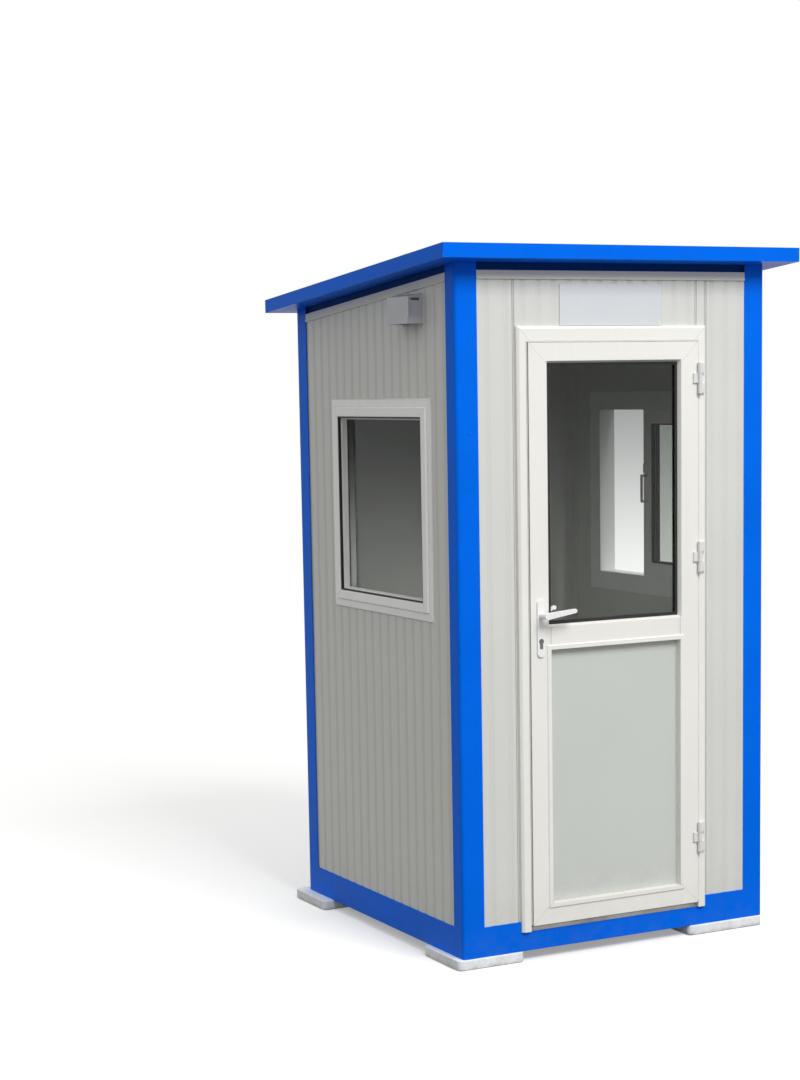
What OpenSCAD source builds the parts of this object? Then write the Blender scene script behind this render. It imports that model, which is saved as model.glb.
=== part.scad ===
// Prefabricated guard booth: sandwich-panel walls on a folded blue base frame, a single-pitch
// roof edged with blue flashing, an outward-opening glazed door and two side windows.
// Millimetres, +Z up. The origin is on the ground under the middle of the booth, the door
// faces -Y and the window wall with the vent hood faces -X.

/* [Booth] */
// Width of the booth across its front
body_w = 1200; // [1150:10:1600]
// Depth of the booth from front to back
body_d = 1200; // [1150:10:2000]
// Height of the front wall above the underside of the base
front_h = 2233; // [2232:1:2600]
// How far the tops of the walls fall from front to back
roof_fall = 105; // [40:5:200]
// Thickness of the wall panels
wall_t = 50; // [50:1:80]
// Thickness of the folded sheet metal
sheet_t = 3; // [2:0.5:4]

/* [Support pads] */
// Thickness of the slabs that the booth stands on
pad_t = 35; // [20:1:60]
// Length of a slab along the front or back
pad_w = 250; // [200:5:320]
// Length of the slab under the front right corner
pad_long_w = 310; // [200:5:340]
// Length of a slab along the side
pad_d = 250; // [200:5:320]
// How far a slab reaches past the side of the base
pad_out = 20; // [0:1:40]
// How far a front slab reaches past the front of the base
pad_front_out = 5; // [0:1:40]
// Radius of a slab's corners
pad_r = 18; // [5:1:40]

/* [Base frame] */
// Height of the base channels
base_h = 100; // [90:1:140]
// Depth of the base channels' flanges
base_flange = 50; // [30:1:50]
// Height of the door sill above the underside of the base
sill_h = 65; // [50:1:80]
// Gap between the floor panel and the webs of the base channels
floor_gap = 7; // [5:1:20]

/* [Corner posts] */
// Leg of the corner angles along the front and back
post_front = 80; // [60:1:100]
// Leg of the front corner angles along the sides
post_side = 64; // [50:1:100]
// Leg of the back corner angles along the sides
post_back_side = 80; // [60:1:100]
// Outside bend radius of the corner angles
post_r = 12; // [6:1:20]

/* [Wall panels] */
// Distance between the grooves of the ribbed panels
rib_pitch = 60; // [40:1:120]
// Width of a groove at the face of the panel
groove_w = 26; // [12:1:30]
// Width of a groove's sloped sides
groove_side = 6; // [3:0.5:6]
// Depth of a groove
groove_d = 1.8; // [1:0.1:2.5]
// Width of the joints between the front panels
joint_w = 9; // [6:1:12]
// Depth of the joints between the front panels
joint_d = 4; // [2:0.5:6]
// Distance from the door frame's edge to the joint beside it
joint_in = 6; // [6:1:8]
// Width of the plain strip at the right end of the panel over the door
header_strip = 34; // [20:1:60]
// Height of the trim along the tops of the walls
trim_h = 28; // [20:1:28]
// Height of the folded hem along the trim's lower edge
hem_h = 7; // [4:1:10]
// How far the hem stands out from the trim
hem_t = 2; // [1:0.5:3]
// Leg of the angles in the corners of the room
angle_leg = 30; // [20:1:40]
// Thickness of the angles in the corners of the room
angle_t = 1.5; // [1:0.5:3]

/* [Roof] */
// Thickness of the roof panel
roof_t = 40; // [30:1:80]
// Overhang of the roof on every side
overhang = 85; // [60:1:160]
// Height of the rails that carry the roof above the walls
rail_h = 28; // [20:1:60]
// Width of a roof rail
rail_w = 40; // [30:1:45]
// Distance of the roof rails from the outer faces of the booth
rail_inset = 12; // [6:1:20]
// Width of the flashing's flange on top of the roof panel
flashing_w = 40; // [20:1:50]
// Width of the grooves in the roof panel
roof_groove_w = 12; // [8:1:24]
// Depth of the grooves in the roof panel
roof_groove_d = 2; // [1:0.5:4]

/* [Door] */
// Distance from the left side of the booth to the door frame
door_left = 220; // [200:1:240]
// Width of the door frame over its outer edges
door_w = 736; // [700:1:736]
// Height of the door frame's top above the underside of the base
door_h = 2056; // [1980:1:2056]
// Face width of the door frame at its sides
jamb_face = 33; // [30:1:50]
// Face width of the door frame at its head
head_face = 48; // [36:1:60]
// How far the door frame stands out from the front wall panels
frame_proud = 15; // [10:1:25]
// Width of the bevel round the outside of the door frame
frame_bevel = 8; // [2:1:9]
// Depth of the door frame
frame_d = 70; // [68:1:90]
// How far the door stop reaches into the doorway
stop_w = 20; // [10:1:25]
// Thickness of the door leaf
leaf_t = 45; // [40:1:50]
// How far the leaf stands out from the face of its frame
leaf_proud = 5; // [0:1:8]
// Clearance round the door leaf at its sides and top
leaf_gap = 5; // [5:0.5:8]
// Clearance between the threshold and the door leaf
leaf_foot_gap = 6; // [5:0.5:10]
// Face width of the leaf's stiles
stile_w = 75; // [60:1:90]
// Face width of the leaf's top rail
top_rail = 66; // [55:1:90]
// Face width of the leaf's middle rail
mid_rail = 82; // [70:1:120]
// Face width of the leaf's bottom rail
bottom_rail = 69; // [50:1:120]
// Height of the middle rail's lower edge above the leaf's lower edge
mid_rail_z = 920; // [800:1:1000]
// Width of the sloped bead round the glass
bead_w = 7; // [4:1:16]
// Depth of the sloped bead
bead_d = 14; // [6:1:14]
// Width of the raised moulding round the lower panel
mould_w = 16; // [10:1:20]
// How far the moulding stands out from the leaf
mould_h = 4; // [2:1:6]
// Width of the slope round the moulding
mould_side = 3; // [1:1:5]
// How far the outer face of the infill lies behind the face of the leaf
infill_in = 20; // [16:1:24]
// Thickness of the door glass
door_glass_t = 8; // [5:1:12]
// Thickness of the lower door panel
lower_panel_t = 16; // [8:1:18]
// How deep glass and panels reach into their grooves
bite = 10; // [6:1:14]
// Thickness of the threshold plate
threshold_t = 14; // [8:1:14]

/* [Door hinges] */
// Radius of a hinge barrel
barrel_r = 8; // [7:0.5:10]
// Height of a hinge
hinge_h = 100; // [80:1:120]
// Radius of a hinge pin
pin_r = 4; // [3:0.5:4.5]
// Length of a hinge plate from the pin
plate_l = 24; // [18:1:26]
// Height of the lowest hinge's middle above the leaf's lower edge
hinge_low_z = 230; // [120:1:300]
// Height of the middle hinge's middle above the leaf's lower edge
hinge_mid_z = 1196; // [900:1:1300]
// Distance of the highest hinge's middle below the leaf's upper edge
hinge_top_drop = 122; // [80:1:250]

/* [Door handle] */
// Distance from the leaf's edge to the handle's spindle
handle_in = 36; // [33:1:40]
// Height of the spindle above the leaf's lower edge
spindle_z = 1035; // [900:1:1100]
// Distance from the spindle down to the key cylinder
lock_drop = 85; // [70:1:92]
// Width of the lock plates
lock_plate_w = 28; // [24:1:34]
// How far a lock plate reaches above the spindle and below the cylinder
lock_plate_end = 52; // [40:1:60]
// Thickness of a lock plate
lock_plate_t = 6; // [5:1:10]
// Length of a lever
lever_l = 112; // [90:1:130]
// Radius of a lever's neck
neck_r = 9; // [7:0.5:9.5]
// Distance from the lock plate to the middle of a lever
lever_out = 38; // [30:1:45]
// Radius of a lever's root
lever_root_r = 11; // [10:0.5:13]
// Radius of a lever's end
lever_end_r = 7; // [5:0.5:9]
// Thickness of a lever
lever_t = 13; // [10:0.5:16]
// Rise of a lever towards its end, in degrees
lever_rise = 7; // [0:1:12]
// Radius of the spindle
spindle_r = 4; // [3:0.5:5]

/* [Windows] */
// Width of a window over its outer flange
win_w = 740; // [600:1:760]
// Height of a window over its outer flange
win_h = 728; // [500:1:732]
// Height of a window's lower edge above the underside of the base
win_z = 1100; // [900:1:1107]
// Distance from the booth's middle back to the middle of the left window
left_win_y = -58; // [-70:1:70]
// Distance from the booth's middle back to the middle of the right window
right_win_y = 40; // [-60:1:60]
// Face width of a window frame
win_face = 58; // [50:1:70]
// Width of the thin flange round a window frame
win_flange = 28; // [15:1:30]
// Thickness of the thin flange
win_flange_t = 5; // [3:1:8]
// Width of the groove between the flange and the raised part of the frame
win_groove_w = 4; // [2:1:6]
// Depth of the groove
win_groove_d = 2.5; // [1:0.5:2.5]
// How far the window frame stands out from the wall panel
win_proud = 12; // [8:1:20]
// Extra width of the window's inside trim past the outer flange
win_trim_out = 10; // [0:1:20]
// Thickness of a window sash
sash_t = 20; // [16:1:20]
// Face width of a window sash
sash_face = 50; // [35:1:60]
// Distance from the face of the wall panel in to the outer sash
sash_in = 6; // [2:1:6]
// Gap between the outer and the inner sash
track_gap = 2; // [1:0.5:2]
// Distance from the front end of the open window to the parked sliding sash
park_gap = 0; // [0:1:200]
// How far the two sashes overlap when closed
sash_lap = 48; // [30:1:60]
// Thickness of the window glass
win_glass_t = 5; // [4:1:8]
// Distance from the face of the left window's frame in to its glazing bead
fixed_bead_in = 11; // [6:1:16]
// Face width of the left window's glazing bead
fixed_bead_w = 8; // [6:1:14]
// Distance from the face of the left window's frame in to its fixed pane
fixed_pane_in = 33.5; // [28:0.5:36]
// Height of the pull on the sliding sash
pull_h = 104; // [80:1:130]
// How far the pull stands out from the sash
pull_out = 30; // [20:1:40]
// Radius of the pull's bar
pull_r = 5; // [4:0.5:7]
// Height of the pull's middle above the window's lower edge
pull_z = 382; // [200:1:500]
// Height of the latch above the pull
latch_h = 34; // [20:1:50]

/* [Vent hood] */
// Width of the vent hood
vent_w = 142; // [100:1:180]
// Height of the vent hood
vent_h = 98; // [80:1:140]
// How far the vent hood stands out from the wall panel
vent_out = 55; // [35:1:80]
// Distance from the front of the booth to the vent hood
vent_y = 222; // [150:1:500]
// Gap between the wall trim and the top of the vent hood
vent_drop = 3; // [2:1:60]
// Thickness of the hood's walls
vent_wall = 3; // [2:0.5:5]
// How far the hood's back and front plates and its lower band reach past its sides
vent_rim = 4; // [2:0.5:8]
// Thickness of the hood's back and front plates
vent_plate_t = 5; // [3:0.5:8]
// Height of the band round the hood's lower edge
vent_band_h = 22; // [10:1:40]
// How far the hood's top slopes down towards its outer face
vent_slope = 10; // [0:1:20]
// Height of the slot near the top of each side of the hood
vent_slot_h = 8; // [4:1:12]
// Length of the slot
vent_slot_l = 32; // [10:1:34]

/* [Sign plate] */
// Width of the bare sign plate
sign_w = 394; // [200:1:500]
// Height of the bare sign plate
sign_h = 134; // [60:1:140]
// Thickness of the sign plate
sign_t = 4; // [2:0.5:6]
// Distance from the door frame's left edge to the sign plate
sign_in = 167; // [20:1:180]
// Gap between the door frame and the sign plate
sign_gap = 1; // [1:1:10]

/* [Clearances] */
// Gap between pieces that are fitted into each other
fit = 0.3; // [0.2:0.05:0.5]
// Gap between turning pieces, measured along the pin
turn_gap = 0.5; // [0.3:0.1:1]

/* [Hidden] */
$fn = 48;

half_w = body_w / 2;
half_d = body_d / 2;
// Outer faces of the wall panels, behind the sheet metal
panel_x = half_w - sheet_t;
panel_y = half_d - sheet_t;
// Inner faces of the wall panels
room_x = panel_x - wall_t;
room_y = panel_y - wall_t;
wall_z = pad_t + base_h;
sill_z = pad_t + sill_h;
roof_x = half_w + overhang;
roof_y = half_d + overhang;
// How far a cutting shape reaches past the face that it cuts
cut = 1;
// A height above everything, for cutting
sky = pad_t + front_h + rail_h + roof_t + roof_y;

// Door frame and leaf
frame_x0 = door_left - half_w;
frame_x1 = frame_x0 + door_w;
frame_y0 = -panel_y - frame_proud;
frame_y1 = frame_y0 + frame_d;
frame_z1 = pad_t + door_h;
leaf_x0 = frame_x0 + jamb_face + leaf_gap;
leaf_x1 = frame_x1 - jamb_face - leaf_gap;
leaf_y0 = frame_y0 - leaf_proud;
leaf_y1 = leaf_y0 + leaf_t;
leaf_z0 = sill_z + threshold_t + leaf_foot_gap;
leaf_z1 = frame_z1 - head_face - leaf_gap;
hinge_x = leaf_x1 + leaf_gap / 2;
hinge_y = leaf_y0 - barrel_r;
hinge_heights = [leaf_z0 + hinge_low_z, leaf_z0 + hinge_mid_z, leaf_z1 - hinge_top_drop];
knuckle_h = hinge_h / 3;
// The pin is held by the two outer knuckles and turns in the middle one
bore_r = pin_r + fit;
handle_x = leaf_x0 + handle_in;
handle_z = leaf_z0 + spindle_z;
lock_z = handle_z - lock_drop;
lock_plate_z0 = lock_z - lock_plate_end;
lock_plate_z1 = handle_z + lock_plate_end;
glass_x0 = leaf_x0 + stile_w;
glass_x1 = leaf_x1 - stile_w;
glass_z0 = leaf_z0 + mid_rail_z + mid_rail;
glass_z1 = leaf_z1 - top_rail;
infill_z0 = leaf_z0 + bottom_rail;
infill_z1 = leaf_z0 + mid_rail_z;
// Key cylinder of the common profile: a round plug over a narrow tail
plug_r = 8.5;
tail_w = 10;
tail_h = 24;
cylinder_proud = 2;
keyway_w = 2;
keyway_h = 8;
keyway_d = 3;

// Windows
clear_w = win_w - 2 * win_face;
clear_h = win_h - 2 * win_face;
win_bottom = pad_t + win_z;
half_sash_w = (clear_w + sash_lap) / 2;
inner_sash_in = sash_in + sash_t + track_gap;
latch_w = 16;
latch_out = 14;

// Height of a wall's top at a distance y back from the middle of the booth
function wall_top(y) = pad_t + front_h - roof_fall * (y + half_d) / body_d;
function groove_count(len) = max(1, round(len / rib_pitch));
// Outline of a panel's grooved face, from its start to its end
function grooved_edge(len, depth) =
    [for (i = [0 : groove_count(len) - 1])
        let (mid = (i + 0.5) * len / groove_count(len),
             floor_half = groove_w / 2 - groove_side)
        each [[mid - groove_w / 2, 0], [mid - floor_half, depth],
              [mid + floor_half, depth], [mid + groove_w / 2, 0]]];

// Helpers

// Extrudes an outline drawn in Y and Z along X
module along_x(x0, x1) {
    translate([x0, 0, 0]) rotate([90, 0, 90]) linear_extrude(x1 - x0) children();
}

// Box given by its two corners
module block(low, high) {
    translate(low) cube(high - low);
}

// Outline in Y and Z between two heights measured from the line of the wall tops
module sloped_band(y0, y1, low, high) {
    polygon([[y0, wall_top(y0) + low], [y1, wall_top(y1) + low],
             [y1, wall_top(y1) + high], [y0, wall_top(y0) + high]]);
}

// Everything above the wall tops, raised by a given height
module above_walls(raise) {
    along_x(-roof_x, roof_x)
        polygon([[-roof_y, wall_top(-roof_y) + raise], [roof_y, wall_top(roof_y) + raise],
                 [roof_y, sky], [-roof_y, sky]]);
}

// Upright panel of a given length, its grooved face on Y = 0 and its plain face behind it,
// with a plain strip of a given width at its end
module ribbed_panel(len, h, strip = 0) {
    linear_extrude(h)
        polygon(concat([[0, 0]], grooved_edge(len - strip, groove_d),
                       [[len, 0], [len, wall_t], [0, wall_t]]));
}

// Places a shape drawn from a wall's outer face inwards onto the left wall
module on_left_wall(y, z) {
    translate([-panel_x, y, z]) rotate([0, 0, -90]) children();
}

// Places a shape drawn from a wall's outer face inwards onto the right wall
module on_right_wall(y, z) {
    translate([panel_x, y, z]) rotate([0, 0, 90]) children();
}

// Upright block with rounded corners
module rounded_slab(size, r) {
    linear_extrude(size[2])
        union() {
            translate([r, 0]) square([size[0] - 2 * r, size[1]]);
            translate([0, r]) square([size[0], size[1] - 2 * r]);
            for (x = [r, size[0] - r], y = [r, size[1] - r])
                translate([x, y]) circle(r = r);
        }
}

// Base and floor

module support_pads() {
    color("whitesmoke") {
        translate([-half_w - pad_out, -half_d - pad_front_out, 0])
            rounded_slab([pad_w, pad_d, pad_t], pad_r);
        translate([half_w - pad_long_w, -half_d - pad_front_out, 0])
            rounded_slab([pad_long_w, pad_d, pad_t], pad_r);
        translate([-half_w - 2 * pad_out, half_d + 2 * pad_out - pad_d, 0])
            rounded_slab([pad_w, pad_d, pad_t], pad_r);
        translate([half_w + pad_out - pad_w, half_d + 2 * pad_out - pad_d, 0])
            rounded_slab([pad_w, pad_d, pad_t], pad_r);
    }
}

// Channel outline, its web on Y = 0 and its flanges pointing to +Y
module channel_outline() {
    difference() {
        square([base_flange + sheet_t, base_h]);
        translate([sheet_t, sheet_t]) square([base_flange + cut, base_h - 2 * sheet_t]);
    }
}

// Base channel from one X to another, its web facing -Y
module base_channel(x0, x1) {
    translate([0, 0, pad_t]) along_x(x0, x1) channel_outline();
}

module base_front() {
    color("dodgerblue")
        difference() {
            translate([0, -half_d, 0]) base_channel(-half_w + post_front, half_w - post_front);
            block([frame_x0, -half_d - cut, sill_z],
                  [frame_x1, -half_d + sheet_t + base_flange + cut, wall_z + cut]);
        }
}

module base_back() {
    color("dodgerblue")
        translate([0, half_d, 0]) rotate([0, 0, 180])
            base_channel(-half_w + post_front, half_w - post_front);
}

module base_left() {
    color("dodgerblue")
        translate([-half_w, 0, 0]) rotate([0, 0, -90])
            base_channel(-half_d + post_back_side, half_d - post_side);
}

module base_right() {
    color("dodgerblue")
        translate([half_w, 0, 0]) rotate([0, 0, 90])
            base_channel(-half_d + post_side, half_d - post_back_side);
}

module floor_panel() {
    inset = sheet_t + floor_gap;
    color("dimgray")
        block([-half_w + inset, -half_d + inset, pad_t + sheet_t],
              [half_w - inset, half_d - inset, sill_z]);
}

// Corner posts

// Quarter of a block, rounded at the corner that lies on the origin
module bent_corner(a, b, r) {
    translate([r, 0]) square([a - r, b]);
    translate([0, r]) square([a, b - r]);
    translate([r, r]) circle(r = r);
}

// Folded corner angle with its bend on the origin and its legs along +X and +Y
module corner_post(leg_x, leg_y) {
    translate([0, 0, pad_t])
        linear_extrude(sky - pad_t)
            difference() {
                bent_corner(leg_x, leg_y, post_r);
                translate([sheet_t, sheet_t]) bent_corner(leg_x, leg_y, post_r - sheet_t);
            }
}

// A corner post stands at a corner of the booth, named by the signs of its X and Y
module placed_post(side_x, side_y, leg_y) {
    color("dodgerblue")
        difference() {
            translate([side_x * half_w, side_y * half_d, 0])
                mirror([side_x > 0 ? 1 : 0, 0, 0]) mirror([0, side_y > 0 ? 1 : 0, 0])
                    corner_post(post_front, leg_y);
            above_walls(rail_h - fit);
        }
}

module post_front_left() { placed_post(-1, -1, post_side); }
module post_front_right() { placed_post(1, -1, post_side); }
module post_back_left() { placed_post(-1, 1, post_back_side); }
module post_back_right() { placed_post(1, 1, post_back_side); }

// Wall panels

// Front panel from one X to another, standing on a given height, with a joint line at a given X
module front_panel(x0, x1, z0, joint_x, strip = 0) {
    difference() {
        translate([x0, -panel_y, z0]) ribbed_panel(x1 - x0, sky - z0, strip);
        translate([joint_x, -panel_y, z0 - cut])
            linear_extrude(sky)
                polygon([[-joint_w / 2, -cut], [joint_w / 2, -cut], [joint_w / 2, 0],
                         [joint_w / 4, joint_d], [-joint_w / 4, joint_d], [-joint_w / 2, 0]]);
        above_walls(0);
    }
}

module front_wall_left() {
    color("gainsboro") front_panel(-half_w + post_r, frame_x0, wall_z, frame_x0 - joint_in);
}

module front_wall_right() {
    color("gainsboro") front_panel(frame_x1, half_w - post_r, wall_z, frame_x1 + joint_in);
}

module front_wall_header() {
    color("gainsboro")
        front_panel(frame_x0, frame_x1, frame_z1, frame_x1 - header_strip, header_strip);
}

module back_wall() {
    color("gainsboro")
        difference() {
            translate([half_w - post_r, panel_y, wall_z]) rotate([0, 0, 180])
                ribbed_panel(body_w - 2 * post_r, sky - wall_z);
            above_walls(0);
        }
}

// Hole for a window body, drawn from the middle of the window's lower edge
module window_hole() {
    block([-win_w / 2 + win_flange, -cut, win_flange],
          [win_w / 2 - win_flange, wall_t + cut, win_h - win_flange]);
}

module left_wall() {
    color("gainsboro")
        difference() {
            on_left_wall(room_y, wall_z) ribbed_panel(2 * room_y, sky - wall_z);
            above_walls(0);
            on_left_wall(left_win_y, win_bottom) window_hole();
        }
}

module right_wall() {
    color("gainsboro")
        difference() {
            on_right_wall(-room_y, wall_z) ribbed_panel(2 * room_y, sky - wall_z);
            above_walls(0);
            on_right_wall(right_win_y, win_bottom) window_hole();
        }
}

// Flat trims between the corner posts, each with a folded hem along its lower edge
module wall_top_trim() {
    end_x = half_w - post_front;
    side_y0 = -half_d + post_side;
    side_y1 = half_d - post_back_side;
    color("lightgray") {
        along_x(-end_x, end_x) sloped_band(-half_d, -panel_y, -trim_h, 0);
        along_x(-end_x, end_x) sloped_band(-half_d - hem_t, -half_d, -trim_h, hem_h - trim_h);
        along_x(-end_x, end_x) sloped_band(panel_y, half_d, -trim_h, 0);
        along_x(-end_x, end_x) sloped_band(half_d, half_d + hem_t, -trim_h, hem_h - trim_h);
        for (side = [0, 1])
            mirror([side, 0, 0]) {
                along_x(-half_w, -panel_x) sloped_band(side_y0, side_y1, -trim_h, 0);
                along_x(-half_w - hem_t, -half_w)
                    sloped_band(side_y0, side_y1, -trim_h, hem_h - trim_h);
            }
    }
}

// Thin angles in the four upright corners of the room
module inside_corner_angles() {
    color("whitesmoke")
        difference() {
            for (side_x = [0, 1], side_y = [0, 1])
                mirror([side_x, 0, 0]) mirror([0, side_y, 0])
                    translate([-room_x, -room_y, sill_z])
                        linear_extrude(sky - sill_z)
                            difference() {
                                square(angle_leg);
                                translate([angle_t, angle_t]) square(angle_leg);
                            }
            above_walls(rail_h - fit);
        }
}

// Roof

// Frame of rails between the wall tops and the roof panel
module roof_rails() {
    rail_x = half_w - rail_inset;
    rail_y = half_d - rail_inset;
    color("mediumblue") {
        for (y = [-rail_y, rail_y - rail_w])
            along_x(-rail_x, rail_x) sloped_band(y, y + rail_w, fit, rail_h - fit);
        for (x = [-rail_x, rail_x - rail_w])
            along_x(x, x + rail_w)
                sloped_band(-rail_y + rail_w, rail_y - rail_w, fit, rail_h - fit);
    }
}

module roof_panel() {
    edge_x = roof_x - sheet_t;
    edge_y = roof_y - sheet_t;
    run = 2 * edge_x - 2 * flashing_w;
    color("gainsboro")
        difference() {
            along_x(-edge_x, edge_x) sloped_band(-edge_y, edge_y, rail_h, rail_h + roof_t);
            for (i = [0 : groove_count(run) - 1])
                let (mid = -run / 2 + (i + 0.5) * run / groove_count(run))
                along_x(mid - roof_groove_w / 2, mid + roof_groove_w / 2)
                    sloped_band(-edge_y + flashing_w, edge_y - flashing_w,
                                rail_h + roof_t - roof_groove_d, rail_h + roof_t + cut);
        }
}

// Lower and upper edge of a flashing, which clasps the roof panel, above the line of the wall tops
flashing_low = rail_h - fit - sheet_t;
flashing_high = rail_h + roof_t + fit + sheet_t;
// Width of the flange below the roof panel, which closes the eave up to the walls
soffit_w = overhang - sheet_t - fit;
// Lower edge, upper edge and width of the two flanges
flashing_bands = [[flashing_low, flashing_low + sheet_t, soffit_w],
                  [flashing_high - sheet_t, flashing_high, flashing_w]];

// Flashing along the front or back edge of the roof, its outer face at y0
module end_flashing(y0) {
    inward = -sign(y0);
    face = y0 + inward * sheet_t;
    along_x(-roof_x, roof_x)
        sloped_band(min(y0, face), max(y0, face), flashing_low, flashing_high);
    for (band = flashing_bands)
        let (inner = face + inward * band[2])
        along_x(-roof_x + sheet_t, roof_x - sheet_t)
            sloped_band(min(face, inner), max(face, inner), band[0], band[1]);
}

module roof_edge_front() {
    color("dodgerblue") end_flashing(-roof_y);
}

module roof_edge_back() {
    color("dodgerblue") end_flashing(roof_y);
}

// Flashing along the left or right edge of the roof, named by the sign of its X
module side_flashing(side) {
    edge_y = roof_y - sheet_t;
    mirror([side > 0 ? 1 : 0, 0, 0]) {
        along_x(-roof_x, -roof_x + sheet_t)
            sloped_band(-edge_y, edge_y, flashing_low, flashing_high);
        for (band = flashing_bands)
            along_x(-roof_x + sheet_t, -roof_x + sheet_t + band[2])
                sloped_band(-edge_y + band[2], edge_y - band[2], band[0], band[1]);
    }
}

module roof_edge_left() { color("dodgerblue") side_flashing(-1); }
module roof_edge_right() { color("dodgerblue") side_flashing(1); }

// Door

// Solid block of the door frame, bevelled outside at its sides and head
module frame_blank() {
    hull() {
        block([frame_x0, frame_y0 + frame_bevel, sill_z], [frame_x1, frame_y1, frame_z1]);
        block([frame_x0 + frame_bevel, frame_y0, sill_z],
              [frame_x1 - frame_bevel, frame_y1, frame_z1 - frame_bevel]);
    }
}

module door_frame() {
    rebate_y = leaf_y1 + leaf_gap;
    color("white")
        difference() {
            frame_blank();
            block([frame_x0 + jamb_face, frame_y0 - cut, sill_z - cut],
                  [frame_x1 - jamb_face, rebate_y, frame_z1 - head_face]);
            block([frame_x0 + jamb_face + stop_w, frame_y0, sill_z - cut],
                  [frame_x1 - jamb_face - stop_w, frame_y1 + cut, frame_z1 - head_face - stop_w]);
        }
}

module door_threshold() {
    color("dimgray")
        block([frame_x0 + jamb_face, -half_d, sill_z],
              [frame_x1 - jamb_face, leaf_y1 + leaf_gap, sill_z + threshold_t]);
}

// Opening in the leaf with a groove for the infill
module infill_opening(x0, x1, z0, z1, infill_t) {
    groove = bite + fit;
    back_y = leaf_y0 + infill_in;
    block([x0, leaf_y0 - mould_h - cut, z0], [x1, leaf_y1 + cut, z1]);
    block([x0 - groove, back_y - fit, z0 - groove], [x1 + groove, back_y + infill_t + fit, z1 + groove]);
}

// Frustum cut that slopes the outer edge of an opening
module bead_slope(x0, x1, z0, z1) {
    hull() {
        block([x0, leaf_y0 + bead_d, z0], [x1, leaf_y0 + bead_d + cut, z1]);
        block([x0 - bead_w, leaf_y0 - cut, z0 - bead_w], [x1 + bead_w, leaf_y0, z1 + bead_w]);
    }
}

// Raised moulding round the lower panel, sloped on its outer side
module panel_moulding() {
    hull() {
        block([glass_x0 - mould_w, leaf_y0, infill_z0 - mould_w],
              [glass_x1 + mould_w, leaf_y0 + cut, infill_z1 + mould_w]);
        block([glass_x0 - mould_w + mould_side, leaf_y0 - mould_h, infill_z0 - mould_w + mould_side],
              [glass_x1 + mould_w - mould_side, leaf_y0, infill_z1 + mould_w - mould_side]);
    }
}

module cylinder_outline(extra) {
    circle(r = plug_r + extra);
    translate([-tail_w / 2 - extra, -tail_h - extra]) square([tail_w + 2 * extra, tail_h + extra]);
}

// Profile key cylinder across the leaf, widened by a clearance
module cylinder_body(y0, y1, extra) {
    translate([handle_x, y1, lock_z]) rotate([90, 0, 0])
        linear_extrude(y1 - y0) cylinder_outline(extra);
}

// Round bar along Y at the spindle's place
module spindle_bar(y0, y1, r) {
    translate([handle_x, y1, handle_z]) rotate([90, 0, 0]) cylinder(r = r, h = y1 - y0);
}

module door_leaf() {
    color("white")
        difference() {
            union() {
                block([leaf_x0, leaf_y0, leaf_z0], [leaf_x1, leaf_y1, leaf_z1]);
                panel_moulding();
            }
            infill_opening(glass_x0, glass_x1, glass_z0, glass_z1, door_glass_t);
            infill_opening(glass_x0, glass_x1, infill_z0, infill_z1, lower_panel_t);
            bead_slope(glass_x0, glass_x1, glass_z0, glass_z1);
            spindle_bar(leaf_y0 - cut, leaf_y1 + cut, spindle_r + fit);
            cylinder_body(leaf_y0 - cut, leaf_y1 + cut, fit);
        }
}

// Infill sheet held in the groove round an opening
module infill_sheet(z0, z1, t) {
    block([glass_x0 - bite, leaf_y0 + infill_in, z0 - bite],
          [glass_x1 + bite, leaf_y0 + infill_in + t, z1 + bite]);
}

module door_glass() {
    color("lightslategray") infill_sheet(glass_z0, glass_z1, door_glass_t);
}

module door_lower_panel() {
    color("silver") infill_sheet(infill_z0, infill_z1, lower_panel_t);
}

// Hinge knuckle with a chunky plate to one side, from one height to another
module knuckle(z0, z1, plate) {
    translate([hinge_x, hinge_y, z0]) cylinder(r = barrel_r, h = z1 - z0);
    block([plate[0], plate[1], z0], [plate[2], plate[3], z1]);
}

// Plates in plan: low X, low Y, high X, high Y
frame_plate = [hinge_x, hinge_y + pin_r, hinge_x + plate_l, frame_y0];
leaf_plate = [hinge_x - plate_l, hinge_y + pin_r / 2, hinge_x, leaf_y0];

module hinge_frame_halves() {
    color("whitesmoke")
        for (z = hinge_heights) {
            knuckle(z - hinge_h / 2, z - knuckle_h / 2, frame_plate);
            knuckle(z + knuckle_h / 2, z + hinge_h / 2, frame_plate);
            translate([hinge_x, hinge_y, z - hinge_h / 2]) cylinder(r = pin_r, h = hinge_h);
        }
}

module hinge_leaf_halves() {
    color("whitesmoke")
        for (z = hinge_heights)
            difference() {
                knuckle(z - knuckle_h / 2 + turn_gap, z + knuckle_h / 2 - turn_gap, leaf_plate);
                translate([hinge_x, hinge_y, z - knuckle_h]) cylinder(r = bore_r, h = 2 * knuckle_h);
            }
}

// Long plate with round ends, from one Y to another
module lock_plate(y0, y1) {
    r = lock_plate_w / 2;
    translate([handle_x, y1, 0]) rotate([90, 0, 0])
        linear_extrude(y1 - y0)
            union() {
                translate([-r, lock_plate_z0 + r])
                    square([lock_plate_w, lock_plate_z1 - lock_plate_z0 - 2 * r]);
                for (z = [lock_plate_z0 + r, lock_plate_z1 - r])
                    translate([0, z]) circle(r = r);
            }
}

module lock_plates() {
    color("white")
        difference() {
            union() {
                lock_plate(leaf_y0 - lock_plate_t, leaf_y0);
                lock_plate(leaf_y1, leaf_y1 + lock_plate_t);
            }
            spindle_bar(leaf_y0 - lock_plate_t - cut, leaf_y1 + lock_plate_t + cut, spindle_r + fit);
            cylinder_body(leaf_y0 - lock_plate_t - cut, leaf_y1 + lock_plate_t + cut, fit);
        }
}

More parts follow.
